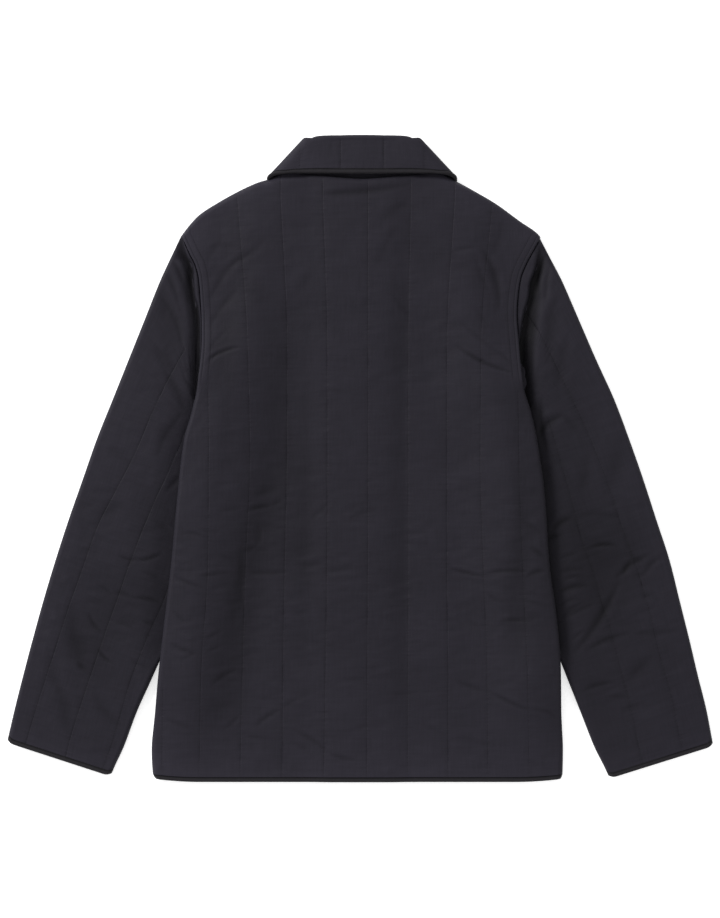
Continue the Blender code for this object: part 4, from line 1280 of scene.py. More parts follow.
def sleeve_points(shape, at, reach_share, angle, tuck=0.0, shorten=0.0):
    """Outer and inner points of a sleeve, how far they are from a seam, and their painted light and shade.

    at numbers the sections. reach_share is how far across the flat of its section a point is, and angle how
    far it is round a fold: 0 on top, -90 degrees at the outer fold, 90 at the inner one and 180 underneath.
    tuck is how far the head reaches in under the body, and shorten how far the cuff's end stays back.
    """
    side = shape.side
    outer_end, inner_end = sleeve_ends(shape, at, shorten)
    width = np.hypot(*np.moveaxis(inner_end - outer_end, -1, 0))
    across = (inner_end - outer_end) / width[..., None]
    flat = width - 2 * SLEEVE_FOLD
    reach = SLEEVE_FOLD + flat * reach_share
    bow = np.interp(at, np.arange(len(HEAD_CURVE)), HEAD_CURVE)
    last, before = shape.sections[-1], shape.sections[-2]
    up_x, up_height = before.outer_x - last.outer_x, before.outer_height - last.outer_height
    up_length = np.hypot(up_x, up_height)
    near_cuff = ease((at - len(shape.sections) + 2) / 0.9)

    def plan(distance):
        """x and height at a distance across the section."""
        place = outer_end + across * distance[..., None]
        share = np.clip(distance / width, 0, 1)
        shift = bow * armhole_bow(side, share) - side * tuck * np.sin(np.pi * share) ** 0.4
        under = UNDERARM_TUCK * ease((5 - at) / 2.4) * ease((distance - width + 30) / 24)
        corner = np.clip(1 - np.minimum(distance, width - distance) / CUFF_ROUND_REACH, 0, 1) ** 2
        corner = CUFF_ROUND * corner * near_cuff / up_length
        x = place[..., 0] + shift - side * under + corner * up_x
        return x, place[..., 1] + corner * up_height

    x, height = plan(reach)
    padding, distance = sleeve_padding(shape, at, reach_share, flat)
    dents = hollows(x, height, shape.hollows)
    creases = creased(x, height, shape.creases)
    slack = swell(x, height, shape.seed + 9) + CREASE_SHARE * creases - dents
    slack += crumpled(x, height, shape.seed + 15)
    hidden = ease((4 - side * (x - body_edge(side, height))) / 8) * ease((UNDERARM - height) / 20)
    near_edge = np.clip(np.minimum(reach_share, 1 - reach_share) * flat / CALM_EDGE, 0, 1)
    relief = (padding + slack) * (1 - hidden) * (0.25 + 0.75 * near_edge)
    # pressed down beside the body, and thin where the head goes in under the armhole's edge
    press, shade = pressed(shape, x, height)
    out = from_armhole(side, x, height)
    head = np.where(tuck > 0, 0.0, 1 - np.exp(-out / HEAD_REACH))
    up = np.cos(angle)
    top = np.maximum(up, 0)
    outward = SLEEVE_FOLD + np.maximum(relief, press + LOWEST - 2 * SLEEVE_FOLD) * top**2
    rise = HEAD_HALF + (outward - HEAD_HALF) * head
    press = press * head
    centre = HEAD_LEVEL + (SLEEVE_FOLD - HEAD_LEVEL) * head
    air = SLEEVE_AIR * (0.15 + 0.85 * head)
    least = THINNEST * (0.6 + 0.4 * head)
    above = np.minimum(air, rise - press * top - least)
    below = np.maximum(air, press + 0.3 + least - rise)
    outer_x, outer_height = plan(reach + (SLEEVE_AIR + SLEEVE_WALL) * np.sin(angle))
    outer_level = np.maximum(centre + rise * up - press * top**2, 0)
    inner_x, inner_height = plan(reach + air * np.sin(angle))
    inner_level = centre + np.where(up > 0, above, below) * up
    outer = np.stack([outer_x, outer_height, outer_level], axis=-1)
    inner = np.stack([inner_x, inner_height, inner_level], axis=-1)
    worn = sleeve_painted_light_and_shade(shape, at, reach, width, distance)
    # painted shade in hollows, creases, seams, folds and beside the body, and painted light on rises and
    # edges
    tone = toned(relief - dents - 0.4 * press, creases * (1 - hidden), worn, distance) * shade
    return outer, inner, distance, tone


def sleeve_ring(shape, at):
    """The places round a sleeve at each of its sections: (share across the flat, angle)."""
    outer_end, inner_end = sleeve_ends(shape, at)
    flat = np.hypot(*np.moveaxis(inner_end - outer_end, -1, 0)) - 2 * SLEEVE_FOLD
    lines = np.concatenate([np.zeros((1, len(at))), seam_shares(shape, at) * flat, [flat]])
    top = across_lines(lines, 14, 30.0) / flat[:, None]
    under = np.linspace(0.94, 0.06, 16)

    def on_each(values):
        return np.tile(values, (len(at), 1))

    shares = [on_each(0 * OUTER_FOLD), top, on_each(0 * INNER_FOLD + 1), on_each(under)]
    angles = [on_each(OUTER_FOLD), 0 * top, on_each(INNER_FOLD), on_each(0 * under + np.pi)]
    return np.concatenate(shares, axis=1), np.concatenate(angles, axis=1)


def sleeve_grids(shape):
    """A sleeve's grids, as back_grids has them."""
    last = len(shape.sections) - 1
    at = np.linspace(0, last, last * ROWS_PER_SECTION + 1)
    at = np.concatenate([np.zeros(len(TUCK)), at])
    tuck = np.concatenate([TUCK, np.zeros(len(at) - len(TUCK))])[:, None]
    share, angle = sleeve_ring(shape, at)
    at = np.repeat(at[:, None], share.shape[1], axis=1)
    outer, inner, distance, tone = sleeve_points(shape, at, share, angle, tuck + 0 * at, HEM_GAP)
    steps = np.diff(outer, axis=1, append=outer[:, :1])[..., ::2]
    round_by = np.cumsum(np.hypot(*np.moveaxis(steps, -1, 0)), axis=1)
    round_by = np.concatenate([np.zeros((len(at), 1)), round_by], axis=1)
    along = np.repeat(at[:, :1] * WEAVE_SECTION, round_by.shape[1], axis=1)
    return outer, inner, np.stack([round_by, along], axis=-1), distance, tone


# ---------------------------------------------------------------- the collar

STAND_SHARES = (-0.12, -0.05, 0.0, 0.07, 0.15, 0.25, 0.38, 0.55, 0.75, 0.9)
ROLL_LEANS = np.linspace(0, np.pi, 15)
FALL_SHARES = (0.03, 0.08, 0.14, 0.21, 0.29, 0.37, 0.46, 0.55, 0.64, 0.73, 0.82, 0.9, 0.96, 1.0)
COLLAR_HALF = np.concatenate(
    [np.linspace(0, 6, 79)[:-1], np.linspace(6, 10, 21)[:-1], np.linspace(10, 14, 34)],
)
# Painted light on the collar, more on its left half.
COLLAR_PAINTED_LIGHT = 0.07  # how much lighter the collar is than the rest
COLLAR_PAINTED_LIGHT_LEFT, COLLAR_PAINTED_LIGHT_FROM, COLLAR_PAINTED_LIGHT_RAMP = 0.2, 30.0, 40.0
COLLAR_SEAM_TOP, COLLAR_SEAM_LENGTH = 738.0, 42.0


def collar_line_values(at):
    """The values of the collar's lines at numbers between them."""
    numbers = np.arange(len(COLLAR_LINES), dtype=float)
    return [through(numbers, table(COLLAR_LINES, name), at) for name in Line._fields]


def sideways(start, end):
    """The unit way along a line, and the one across it away from the middle of the neck."""
    along = (end - start) / np.hypot(*np.moveaxis(end - start, -1, 0))[..., None]
    return along, np.stack([np.abs(along[..., 1]), np.abs(along[..., 0])], axis=-1)


class CollarFrame:
    """The lines of half the collar at given numbers, and points on its stand, roll and fall."""

    def __init__(self, at):
        turn, neck_x, neck_h, roll_x, roll_h, edge_x, edge_h = collar_line_values(at)
        self.round_neck = turn * np.pi
        self.neck = np.stack([neck_x, neck_h], axis=-1)
        self.roll = np.stack([roll_x, roll_h], axis=-1)
        self.edge = np.stack([edge_x, edge_h], axis=-1)
        self.stand_along, self.stand_out = sideways(self.neck, self.roll)
        self.fall_along, self.fall_out = sideways(self.roll, self.edge)
        self.length = np.hypot(*np.moveaxis(self.edge - self.roll, -1, 0))
        self.sunk = ease((82 - neck_x) / 24) * (turn == 0)

    def point(self, plan, out, radius, along, lean, wall):
        """(inner, outer) points. lean is 0 on the stand, which faces in, and 180 degrees on the fall."""
        sine, cosine = np.sin(self.round_neck), np.cos(self.round_neck)
        cosine = np.sign(cosine) * np.abs(cosine) ** FOLD_SQUARENESS
        away = np.stack([out[..., 0] * sine, out[..., 1] * sine, cosine], axis=-1)
        place = np.concatenate([plan, np.full(plan.shape[:-1] + (1,), COLLAR_LEVEL)], axis=-1) + away * radius
        level_along = np.concatenate([along, np.zeros(along.shape[:-1] + (1,))], axis=-1)
        way = level_along * np.sin(lean) - away * np.cos(lean)
        return place, place + way * np.asarray(wall)[..., None]

    def stand(self, share):
        """Points of the stand at a share of the way up to the roll."""
        start = share * self.sunk if share < 0 else share + 0 * self.sunk
        plan = self.neck + (self.roll - self.neck) * start[:, None]
        wall = COLLAR_WALL + 0 * self.length
        inner, outer = self.point(plan, self.stand_out, STAND_RADIUS, self.stand_along, 0.0, wall)
        dip = STAND_DIP * self.sunk * (1 - ease((share + 0.05) / 0.5))
        return inner - dip[:, None] * (0, 0, 1), outer - dip[:, None] * (0, 0, 1)

    def rolled(self, lean):
        """Points of the roll, between the stand and the fall."""
        share = lean / np.pi
        along = self.stand_along * (1 - share) - self.fall_along * share
        along /= np.hypot(*np.moveaxis(along, -1, 0))[..., None]
        out = self.stand_out * (1 - share) + self.fall_out * share
        out /= np.hypot(*np.moveaxis(out, -1, 0))[..., None]
        plan = self.roll + along * ROLL_RADIUS * np.sin(lean)
        radius = STAND_RADIUS + ROLL_RADIUS * (1 - np.cos(lean))
        wall = COLLAR_WALL + 0.5 * self.relief(self.roll) * share
        return self.point(plan, out, radius, along, lean, wall)

    def fall(self, distance, wall=None):
        """Points of the fall at a distance from its outer edge."""
        plan = self.edge - self.fall_along * np.asarray(distance)[..., None]
        if wall is None:
            wall = COLLAR_WALL + self.relief(plan)
        shown = np.maximum(np.cos(self.round_neck), 0)[:, None]
        radius = FALL_RADIUS + 0.5 * shown * waves(plan[..., 0:1], plan[..., 1:2], 7, 70)
        return self.point(plan, self.fall_out, radius, self.fall_along, np.pi, wall)

    def seam_distance(self, plan):
        place = plan + self.fall_out * (FALL_RADIUS * np.sin(self.round_neck))[:, None]
        share = np.clip((COLLAR_SEAM_TOP - place[..., 1]) / COLLAR_SEAM_LENGTH, 0, 1)
        away = [np.abs(place[..., 0] - (top + (edge - top) * share)) for top, edge in COLLAR_SEAMS]
        return np.minimum(*away) + UNSEWN * (self.round_neck > 1.5)

    def relief(self, plan):
        """Quilting and slack of the collar, on the half that lies on the back."""
        x, height = plan[..., 0], plan[..., 1]
        distance = self.seam_distance(plan)
        shown = np.cos(np.minimum(self.round_neck, np.pi / 2))
        groove = -COLLAR_VALLEY * np.exp(-distance / PAD_REACH) - 0.4 * np.exp(-distance / PAD_DIP_REACH)
        gather = 0.08 * waves(x, height, 3, 9) * np.exp(-distance / 5)
        slack = 0.22 * waves(x, height, 5, 40) + 0.05 * waves(x, height, 6, 13)
        return (groove + gather + slack) * shown


def both_halves(half):
    """A collar grid of one half, and its mirror image before it."""
    other = (half * (-1, 1, 1))[:0:-1]
    whole = np.concatenate([other, half])
    whole[..., 0] += NECK_CENTRE
    return whole


def collar_grids():
    """The collar's grids, as back_grids has them."""
    shape = CollarFrame(COLLAR_HALF)
    falls = [shape.length - (shape.length - HEM_GAP) * share for share in FALL_SHARES]
    pairs = [shape.stand(share) for share in STAND_SHARES]
    pairs += [shape.rolled(lean) for lean in ROLL_LEANS]
    pairs += [shape.fall(fall) for fall in falls]
    inner = both_halves(np.stack([pair[0] for pair in pairs], axis=1))
    outer = both_halves(np.stack([pair[1] for pair in pairs], axis=1))
    distance = [shape.seam_distance(shape.roll)] * (len(STAND_SHARES) + len(ROLL_LEANS))
    distance += [shape.seam_distance(shape.edge - shape.fall_along * fall[:, None]) for fall in falls]
    half = np.stack(distance, axis=1)
    distance = np.concatenate([half[:0:-1], half])
    steps = np.linalg.norm(np.diff(outer, axis=1), axis=-1)
    down = np.concatenate([np.zeros((len(outer), 1)), np.cumsum(steps, axis=1)], axis=1)
    left = ease((NECK_CENTRE - COLLAR_PAINTED_LIGHT_FROM - outer[..., 0]) / COLLAR_PAINTED_LIGHT_RAMP)
    tone = toned(0.0, 0.0, COLLAR_PAINTED_LIGHT + COLLAR_PAINTED_LIGHT_LEFT * left, distance)
    return outer, inner, np.stack([outer[..., 0], down], axis=-1), distance, tone


# ---------------------------------------------------------------- bound edges


def tape_grids(places):
    """A binding's grids, from a function that gives the inner and outer points for one row of TAPE."""
    pairs = [places(row.inside, row.outside, row.raised) for row in TAPE]
    inner = np.stack([pair[0] for pair in pairs])
    outer = np.stack([pair[1] for pair in pairs])
    steps = np.linalg.norm(np.diff(outer, axis=1), axis=-1).mean(axis=0)
    along = np.concatenate([[0], np.cumsum(steps)])
    down = np.array([row.outside for row in TAPE])[:, None]
    plan = np.stack(np.broadcast_arrays(along[None], down), axis=-1)
    distance = np.abs(down - TAPE_STITCH) + 0 * along[None]
    return outer, inner, plan, distance, 1 - TAPE_LINE_TONE * np.exp(-distance / TAPE_LINE_REACH)


def tape_ripple(along, outside, seed):
    """The small uneven puckers of a narrow bound edge."""
    body = np.clip(1 - abs(outside - 3) / 3.2, 0, 1)
    small = 0.12 * waves(along, outside, seed, 11, turn=(0.0, 0.5))
    return (small + 0.07 * waves(along, outside, seed + 1, 34)) * body


HEM_TURN = 14.0  # how far in from the side edges the hem's binding starts to turn round them


def hem_half(side, height, raised):
    """The hem's binding along one front, and round to the back. raised is None on its inner face."""
    half_air = (BACK_LEVEL - FRONT_WALL) / 2
    fold = np.linspace(0, np.pi, 15)
    x = np.linspace(-side * OVERLAP, body_edge(side, height) - side * HEM_TURN, 90)
    wall = 0.0 if raised is None else FRONT_WALL + min(raised, 0)
    flat = np.stack([x, 0 * x + height, front_base(side, x, height) - wall], axis=-1)
    wall = half_air + 0 * fold
    if raised is not None:
        wall = half_air + (BACK_WALL + raised * np.maximum(np.cos(fold), -0.9))
        wall = np.where(np.cos(fold) < 0, np.minimum(wall, half_air + FRONT_WALL), wall)
    centre = body_edge(side, height) - side * (half_air + BACK_WALL)
    level = FRONT_WALL + half_air + wall * np.cos(fold)
    bend = np.stack([centre + side * wall * np.sin(fold), 0 * fold + height, level], axis=-1)
    return flat, bend


def hem_places(inside, outside, raised):
    """Points of the hem's binding, round from the left front's middle edge to the right front's."""
    pair = []
    for height, extra in ((inside, None), (outside, raised)):
        left_flat, left_bend = hem_half(-1, height, extra)
        right_flat, right_bend = hem_half(1, height, extra)
        x = np.linspace(body_edge(-1, height) + HEM_TURN, body_edge(1, height) - HEM_TURN, 190)
        level = back_base(x, height)
        if extra is not None:
            level = level + BACK_WALL + extra + tape_ripple(x, outside, 81)
        middle = np.stack([x, 0 * x + height, level], axis=-1)
        pair.append(np.concatenate([left_flat, left_bend[::-1], middle, right_bend, right_flat[::-1]]))
    return pair


def cuff_places(shape):
    """A function that gives points of a cuff's binding, all round the end of the sleeve."""
    last = np.array([float(len(shape.sections) - 1)])
    share, angle = sleeve_ring(shape, last)
    at = np.full(share.shape, last)
    up = np.cos(angle[0])

    def places(inside, outside, raised):
        _, inner, _, _ = sleeve_points(shape, at, share, angle, shorten=inside)
        outer, _, _, _ = sleeve_points(shape, at, share, angle, shorten=outside)
        ripple = tape_ripple(share[0] * 120, outside, shape.seed + 5) * np.maximum(up, 0)
        level = np.where(up > 0, SLEEVE_AIR + BACK_WALL, SLEEVE_FOLD) * up
        level = level + np.where(up > 0.2, raised, min(raised, 0)) * up + ripple
        outer[0, :, 2] = np.maximum(level, -SLEEVE_FOLD) + SLEEVE_FOLD
        return inner[0], outer[0]

    return places


def collar_places(inside, outside, raised):
    """Points of the binding of the collar's edge."""
    shape = CollarFrame(COLLAR_HALF)
    proud = np.maximum(np.cos(shape.round_neck), 0)
    wall = COLLAR_WALL + np.where(proud > 0, raised, min(raised, 0))
    wall = wall + tape_ripple(shape.edge[:, 0], outside, 91) * proud
    inner, _ = shape.fall(inside + 0 * shape.length, COLLAR_WALL + 0 * shape.length)
    _, outer = shape.fall(outside + 0 * shape.length, wall)
    return both_halves(inner[:, None])[:, 0], both_halves(outer[:, None])[:, 0]


# ---------------------------------------------------------------- stitches


BALL_SIDES, BALL_RINGS = 6, 5
STITCH_SINK = 0.7  # how far the ends of a stitch sink into the cloth, as a share of its thickness


def one_stitch(length, thickness):
    """One stitch, modelled from a ball that is drawn out and sunk at its ends: its points and faces."""
    bpy.ops.object.select_all(action="DESELECT")
    bpy.ops.mesh.primitive_uv_sphere_add(segments=BALL_SIDES, ring_count=BALL_RINGS, radius=0.5)
    thread = bpy.context.active_object
    bpy.ops.object.mode_set(mode="EDIT")
    bpy.ops.mesh.select_all(action="SELECT")
    bpy.ops.transform.rotate(value=np.pi / 2, orient_axis="Y", center_override=(0, 0, 0))
    bpy.ops.transform.resize(value=(length, thickness, thickness))
    bpy.ops.object.mode_set(mode="OBJECT")
    mesh = thread.data
    points = np.array([vert.co[:] for vert in mesh.vertices])
    faces = [list(face.vertices) for face in mesh.polygons]
    points[:, 2] -= (points[:, 0] / (length / 2)) ** 2 * thickness * STITCH_SINK
    bpy.data.objects.remove(thread)
    bpy.data.meshes.remove(mesh)
    return points, faces


def stitch_row(path, settings):
    """Places along a path of points in millimetres, one for each stitch: (centre, way along it)."""
    steps = np.linalg.norm(np.diff(path, axis=0), axis=1)
    run = np.concatenate([[0], np.cumsum(steps)])
    pitch = settings.stitch_pitch / MM
    at = np.arange(pitch, run[-1] - 1, pitch)
    centre = np.stack([np.interp(at, run, path[:, axis]) for axis in range(3)], axis=-1)
    ahead = np.stack([np.interp(at + 1, run, path[:, axis]) for axis in range(3)], axis=-1)
    return centre, ahead - centre


def stitches(name, paths, settings, material):
    """Rows of stitches along paths, as one piece."""
    points, faces = one_stitch(settings.stitch_length, settings.thread)
    found, joined = [], []
    for path in paths:
        centre, along = stitch_row(np.asarray(path, float), settings)
        along /= np.linalg.norm(along, axis=1)[:, None]
        side = np.cross([0, 0, 1], along)
        side /= np.linalg.norm(side, axis=1)[:, None]
        up = np.cross(along, side)
        turned = np.einsum("pk,nkd->npd", points, np.stack([along, side, up], axis=1))
        found.append(to_frame(centre)[:, None] + turned)
    placed = np.concatenate(found)
    for number in range(len(placed)):
        joined += [[corner + number * len(points) for corner in face] for face in faces]
    mesh = bpy.data.meshes.new(name)
    mesh.from_pydata(placed.reshape(-1, 3).tolist(), [], joined)
    mesh.materials.append(material)
    piece = new_object(name, mesh)
    smooth_shaded(piece, 80)
    return piece


PATH_STEP = 1.2
SUNK = (0, 0, -0.06)  # how far the stitches of the quilting lie in the cloth
PROUD = (0, 0, 0.02)  # how far those of the armholes and the collar stand out
TAPE_PROUD = 0.1  # how far the tape is raised where it is sewn, and its stitches on it


def back_rows():
    """Paths of the stitches on the back: the quilting seams and two rows along each armhole."""

    def path(x, height):
        inside = height < back_top(x) - 3
        x, height = x[inside], height[inside]
        return np.stack([x, height, back_face(x, height)[0]], axis=-1)

    paths = []
    for number, seam in enumerate(BACK_SEAMS):
        height = np.arange(HEM_GAP + 1, min(seam.ends - 3, 694.0), PATH_STEP)
        paths.append(path(seam_lines(height)[number], height) + SUNK)
    height = np.arange(UNDERARM + 6, 624.0, PATH_STEP)
    for side in (-1, 1):
        for inset, _, _ in ARMHOLE_ROWS:
            x = body_edge(side, height) - side * inset / edge_slant(side, height)
            paths.append(path(x, height) + PROUD)
    return paths


def on_tape(places):
    """Points along the stitches of a binding."""
    _, outer = places(TAPE_STITCH, TAPE_STITCH, TAPE_PROUD)
    return outer + (0, 0, TAPE_PROUD)


def sleeve_rows(shape):
    """Paths of the stitches on a sleeve: its quilting seams and the row along its cuff."""
    paths = []
    for number, (first, last) in enumerate(shape.sewn):
        at = np.arange(first + SEAM_START, last, 0.03)
        share = seam_shares(shape, at)[number]
        outer, _, _, _ = sleeve_points(shape, at, share, 0 * at, shorten=HEM_GAP)
        x, height, _ = outer.T
        shown = shape.side * (x - body_edge(shape.side, height)) > 3
        paths.append(outer[shown | (height < 120)] + SUNK)
    _, angle = sleeve_ring(shape, np.array([float(len(shape.sections) - 1)]))
    return paths + [on_tape(cuff_places(shape))[np.abs(angle[0]) < 1.2]]


def collar_rows():
    """Paths of the stitches on the collar: its quilting seams and the row along its edge."""
    paths = []
    shape = CollarFrame(np.linspace(0.5, 8.0, 160))
    start = HEM_GAP + 1
    for top, edge in COLLAR_SEAMS:
        path = []
        for share in np.linspace(0, 1, 40):
            _, outer = shape.fall(start + (shape.length - start) * share)
            seam_x = edge + (top - edge) * share
            path.append([np.interp(seam_x, outer[:, 0], outer[:, axis]) for axis in range(3)])
        for mirror in (1, -1):
            paths.append(np.array(path) * (mirror, 1, 1) + (NECK_CENTRE, 0, 0) + PROUD)
    outer = on_tape(collar_places)
    return paths + [outer[outer[:, 2] > COLLAR_LEVEL + TAPE_PROUD]]


def hem_rows():
    """Path of the stitches along the hem's binding."""
    outer = on_tape(hem_places)
    return [outer[outer[:, 2] > BACK_LEVEL + 2 + TAPE_PROUD]]


# ---------------------------------------------------------------- materials


# The cloth's darkest and lightest streaks as shares of its colour, how much of them comes from the slubs, the
# mottling and the painted shade along the seams, and how deep each part of its surface is in metres.
DARK_STREAK, LIGHT_STREAK = 0.72, 1.3
SLUB_STREAKS, MOTTLE_STREAKS, SEAM_STREAKS = 1.15, 0.35, 0.1
SLUB_ROUGHNESS = 0.16
WEAVE_DEPTH, SLUB_DEPTH, PUCKER_DEPTH, CRUMPLE_DEPTH = 0.00004, 0.00012, 0.0009, 0.0006
DARK_STRAND, LIGHT_STRAND, STRAND_DEPTH = 0.7, 1.25, 0.00006
STRANDS, STRAND_SLANT = 900.0, 0.6


def shade_of(colour, share):
    """A darker or lighter shade of a colour."""
    return [channel * share for channel in colour[:3]] + [1.0]


class Nodes:
    """A short way to add and link the nodes of one tree."""

    def __init__(self, tree):
        self.tree = tree

    def feed(self, node, inputs):
        """Links or sets a node's inputs."""
        for name, value in inputs.items():
            socket = node.inputs[name]
            if isinstance(value, bpy.types.NodeSocket):
                self.tree.links.new(value, socket)
            else:
                socket.default_value = value

    def add(self, kind, inputs=None, **settings):
        node = self.tree.nodes.new(kind)
        for name, value in settings.items():
            setattr(node, name, value)
        self.feed(node, inputs or {})
        return node

    def math(self, operation, first, second=0.0, third=0.0):
        return self.add("ShaderNodeMath", {0: first, 1: second, 2: third}, operation=operation).outputs[0]

    def noise(self, vector, scale, detail=2.0, roughness=0.5):
        inputs = {"Vector": vector, "Scale": scale, "Detail": detail, "Roughness": roughness}
        return self.add("ShaderNodeTexNoise", inputs).outputs["Fac"]

    def stretched(self, vector, scale):
        return self.add("ShaderNodeMapping", {"Vector": vector, "Scale": scale}).outputs[0]

    def bump(self, height):
        return self.add("ShaderNodeBump", {"Height": height, "Strength": 1.0, "Distance": 1.0}).outputs[0]


def node_group(name, inputs, outputs):
    """A new shader node group with float or vector inputs and float outputs, and its nodes."""
    found = bpy.data.node_groups.get(name)
    if found:
        bpy.data.node_groups.remove(found)
    group = bpy.data.node_groups.new(name, "ShaderNodeTree")
    for label, kind, value in inputs:
        socket = group.interface.new_socket(label, in_out="INPUT", socket_type=kind)
        if value is not None:
            socket.default_value = value
    for label in outputs:
        group.interface.new_socket(label, in_out="OUTPUT", socket_type="NodeSocketFloat")
    nodes = Nodes(group)
    return group, nodes, nodes.add("NodeGroupInput"), nodes.add("NodeGroupOutput")


def weave_group():
    """A plain weave: threads that go over and under each other, with slubs along the crosswise ones."""
    group, nodes, start, end = node_group(
        "Plain weave",
        (
            ("Cloth", "NodeSocketVector", None),
            ("Threads per metre", "NodeSocketFloat", 2400.0),
        ),
        ("Height", "Slub"),
    )
    scale = nodes.math("MULTIPLY", start.outputs["Threads per metre"], np.pi)
    scaled = nodes.add("ShaderNodeVectorMath", {0: start.outputs["Cloth"], "Scale": scale}, operation="SCALE")
    split = nodes.add("ShaderNodeSeparateXYZ", {0: scaled.outputs[0]})
    warp = nodes.math("SINE", split.outputs[0])
    weft = nodes.math("SINE", split.outputs[1])
    over = nodes.math("MULTIPLY", warp, weft)
    height = nodes.math("MULTIPLY_ADD", over, 0.5, 0.5)
    crosswise = nodes.stretched(start.outputs["Cloth"], (22.0, 330.0, 1.0))
    lengthwise = nodes.stretched(start.outputs["Cloth"], (600.0, 34.0, 1.0))
    slub = nodes.math("ADD", nodes.noise(crosswise, 1.0, 3.0, 0.6), nodes.noise(lengthwise, 1.0, 2.0, 0.5))
    nodes.feed(end, {"Height": height, "Slub": nodes.math("MULTIPLY", slub, 0.5)})
    return group


def pucker_group():
    """The gathers that run out from a row of stitches, and how near the stitches are."""
    group, nodes, start, end = node_group(
        "Stitch puckers",
        (
            ("Cloth", "NodeSocketVector", None),
            ("Distance", "NodeSocketFloat", 0.0),
            ("Reach", "NodeSocketFloat", 0.006),
        ),
        ("Height", "Groove"),
    )
    near = nodes.math("DIVIDE", start.outputs["Distance"], start.outputs["Reach"])
    fade = nodes.math("EXPONENT", nodes.math("MULTIPLY", near, -1.0))
    across = nodes.stretched(start.outputs["Cloth"], (45.0, 210.0, 1.0))
    gathers = nodes.math("SUBTRACT", nodes.noise(across, 1.0, 2.0, 0.55), 0.5)
    line = nodes.math("EXPONENT", nodes.math("MULTIPLY", near, -5.0))
    nodes.feed(end, {"Height": nodes.math("MULTIPLY", gathers, fade), "Groove": line})
    return group


def crumple_group():
    """The fine uneven surface of cloth that wear and folding have crumpled, and the soft mottling of its
    colour.
    """
    group, nodes, start, end = node_group(
        "Crumple",
        (("Place", "NodeSocketVector", None), ("Size", "NodeSocketFloat", 60.0)),
        ("Height", "Mottle"),
    )
    place, size = start.outputs["Place"], start.outputs["Size"]
    broad = nodes.math("MULTIPLY", size, 0.2)
    mottle = nodes.noise(place, broad, 3.0, 0.5)
    nodes.feed(end, {"Height": nodes.noise(place, size, 4.0, 0.55), "Mottle": mottle})
    return group


def new_material(name):
    """A new material, its nodes and its shader."""
    material = bpy.data.materials.new(name)
    material.use_nodes = True
    return material, Nodes(material.node_tree), material.node_tree.nodes["Principled BSDF"]


def cloth_material(name, colour, settings, threads, groups, puckers=1.0):
    """Woven cloth. Its colour, sheen and bumps come from its weave, its stitches and its creases, and its
    colour carries painted light and shade.
    """
    weave, pucker, crumple = groups
    material, nodes, shader = new_material(name)
    cloth = nodes.add("ShaderNodeUVMap", uv_map="cloth").outputs[0]
    place = nodes.add("ShaderNodeTexCoord").outputs["Object"]
    seam = nodes.add("ShaderNodeAttribute", attribute_name="seam").outputs["Fac"]
    tone = nodes.add("ShaderNodeAttribute", attribute_name="tone").outputs["Fac"]
    threaded = {"Cloth": cloth, "Threads per metre": threads}
    woven = nodes.add("ShaderNodeGroup", threaded, node_tree=weave).outputs
    sewn_in = nodes.add("ShaderNodeGroup", {"Cloth": cloth, "Distance": seam}, node_tree=pucker).outputs
    worn_in = nodes.add("ShaderNodeGroup", {"Place": place}, node_tree=crumple).outputs

    streaks = nodes.math("MULTIPLY_ADD", woven["Slub"], SLUB_STREAKS, -0.2)
    streaks = nodes.math("ADD", streaks, nodes.math("MULTIPLY", worn_in["Mottle"], MOTTLE_STREAKS))
    # painted shade along the seams
    streaks = nodes.math("SUBTRACT", streaks, nodes.math("MULTIPLY", sewn_in["Groove"], SEAM_STREAKS))
    shades = {0: streaks, 6: shade_of(colour, DARK_STREAK), 7: shade_of(colour, LIGHT_STREAK)}
    mixed = nodes.add("ShaderNodeMix", shades, data_type="RGBA").outputs[2]
    # the pieces' painted light and shade scale the colour
    toned_colour = nodes.add("ShaderNodeVectorMath", {0: mixed, "Scale": tone}, operation="SCALE").outputs[0]
    least = settings.roughness - SLUB_ROUGHNESS / 2
    rough = nodes.math("MULTIPLY_ADD", woven["Slub"], SLUB_ROUGHNESS, least)

    height = nodes.math("MULTIPLY", woven["Height"], WEAVE_DEPTH)
    height = nodes.math("MULTIPLY_ADD", woven["Slub"], SLUB_DEPTH, height)
    height = nodes.math("MULTIPLY_ADD", sewn_in["Height"], PUCKER_DEPTH * puckers, height)
    height = nodes.math("MULTIPLY_ADD", worn_in["Height"], CRUMPLE_DEPTH, height)
    finish = {
        "Base Color": toned_colour,
        "Roughness": rough,
        "Specular IOR Level": settings.shine,
        "Sheen Weight": settings.sheen,
        "Sheen Roughness": 0.45,
        "Sheen Tint": (0.75, 0.75, 0.85, 1.0),
        "Normal": nodes.bump(height),
    }
    nodes.feed(shader, finish)
    return material


def thread_material(name, colour):
    """Twisted sewing thread: fine slanted strands."""
    material, nodes, shader = new_material(name)
    place = nodes.add("ShaderNodeTexCoord").outputs["Object"]
    slant = nodes.add("ShaderNodeMapping", {"Vector": place, "Rotation": (0.0, 0.0, STRAND_SLANT)}).outputs[0]
    waved = {"Vector": slant, "Scale": STRANDS, "Distortion": 1.0}
    strands = nodes.add("ShaderNodeTexWave", waved).outputs["Fac"]
    shades = {0: strands, 6: shade_of(colour, DARK_STRAND), 7: shade_of(colour, LIGHT_STRAND)}
    finish = {
        "Base Color": nodes.add("ShaderNodeMix", shades, data_type="RGBA").outputs[2],
        "Normal": nodes.bump(nodes.math("MULTIPLY", strands, STRAND_DEPTH)),
        "Roughness": 0.75,
        "Specular IOR Level": 0.12,
    }
    nodes.feed(shader, finish)
    return material


def floor_material(colour):
    """A matte pale floor that glows a little, so that it stays pale under the soft light."""
    material, nodes, shader = new_material("floor")
    finish = {
        "Base Color": colour,
        "Roughness": 0.95,
        "Specular IOR Level": 0.1,
        "Emission Color": (1.0, 1.0, 1.0, 1.0),
        "Emission Strength": 0.5,
    }
    nodes.feed(shader, finish)
    return material


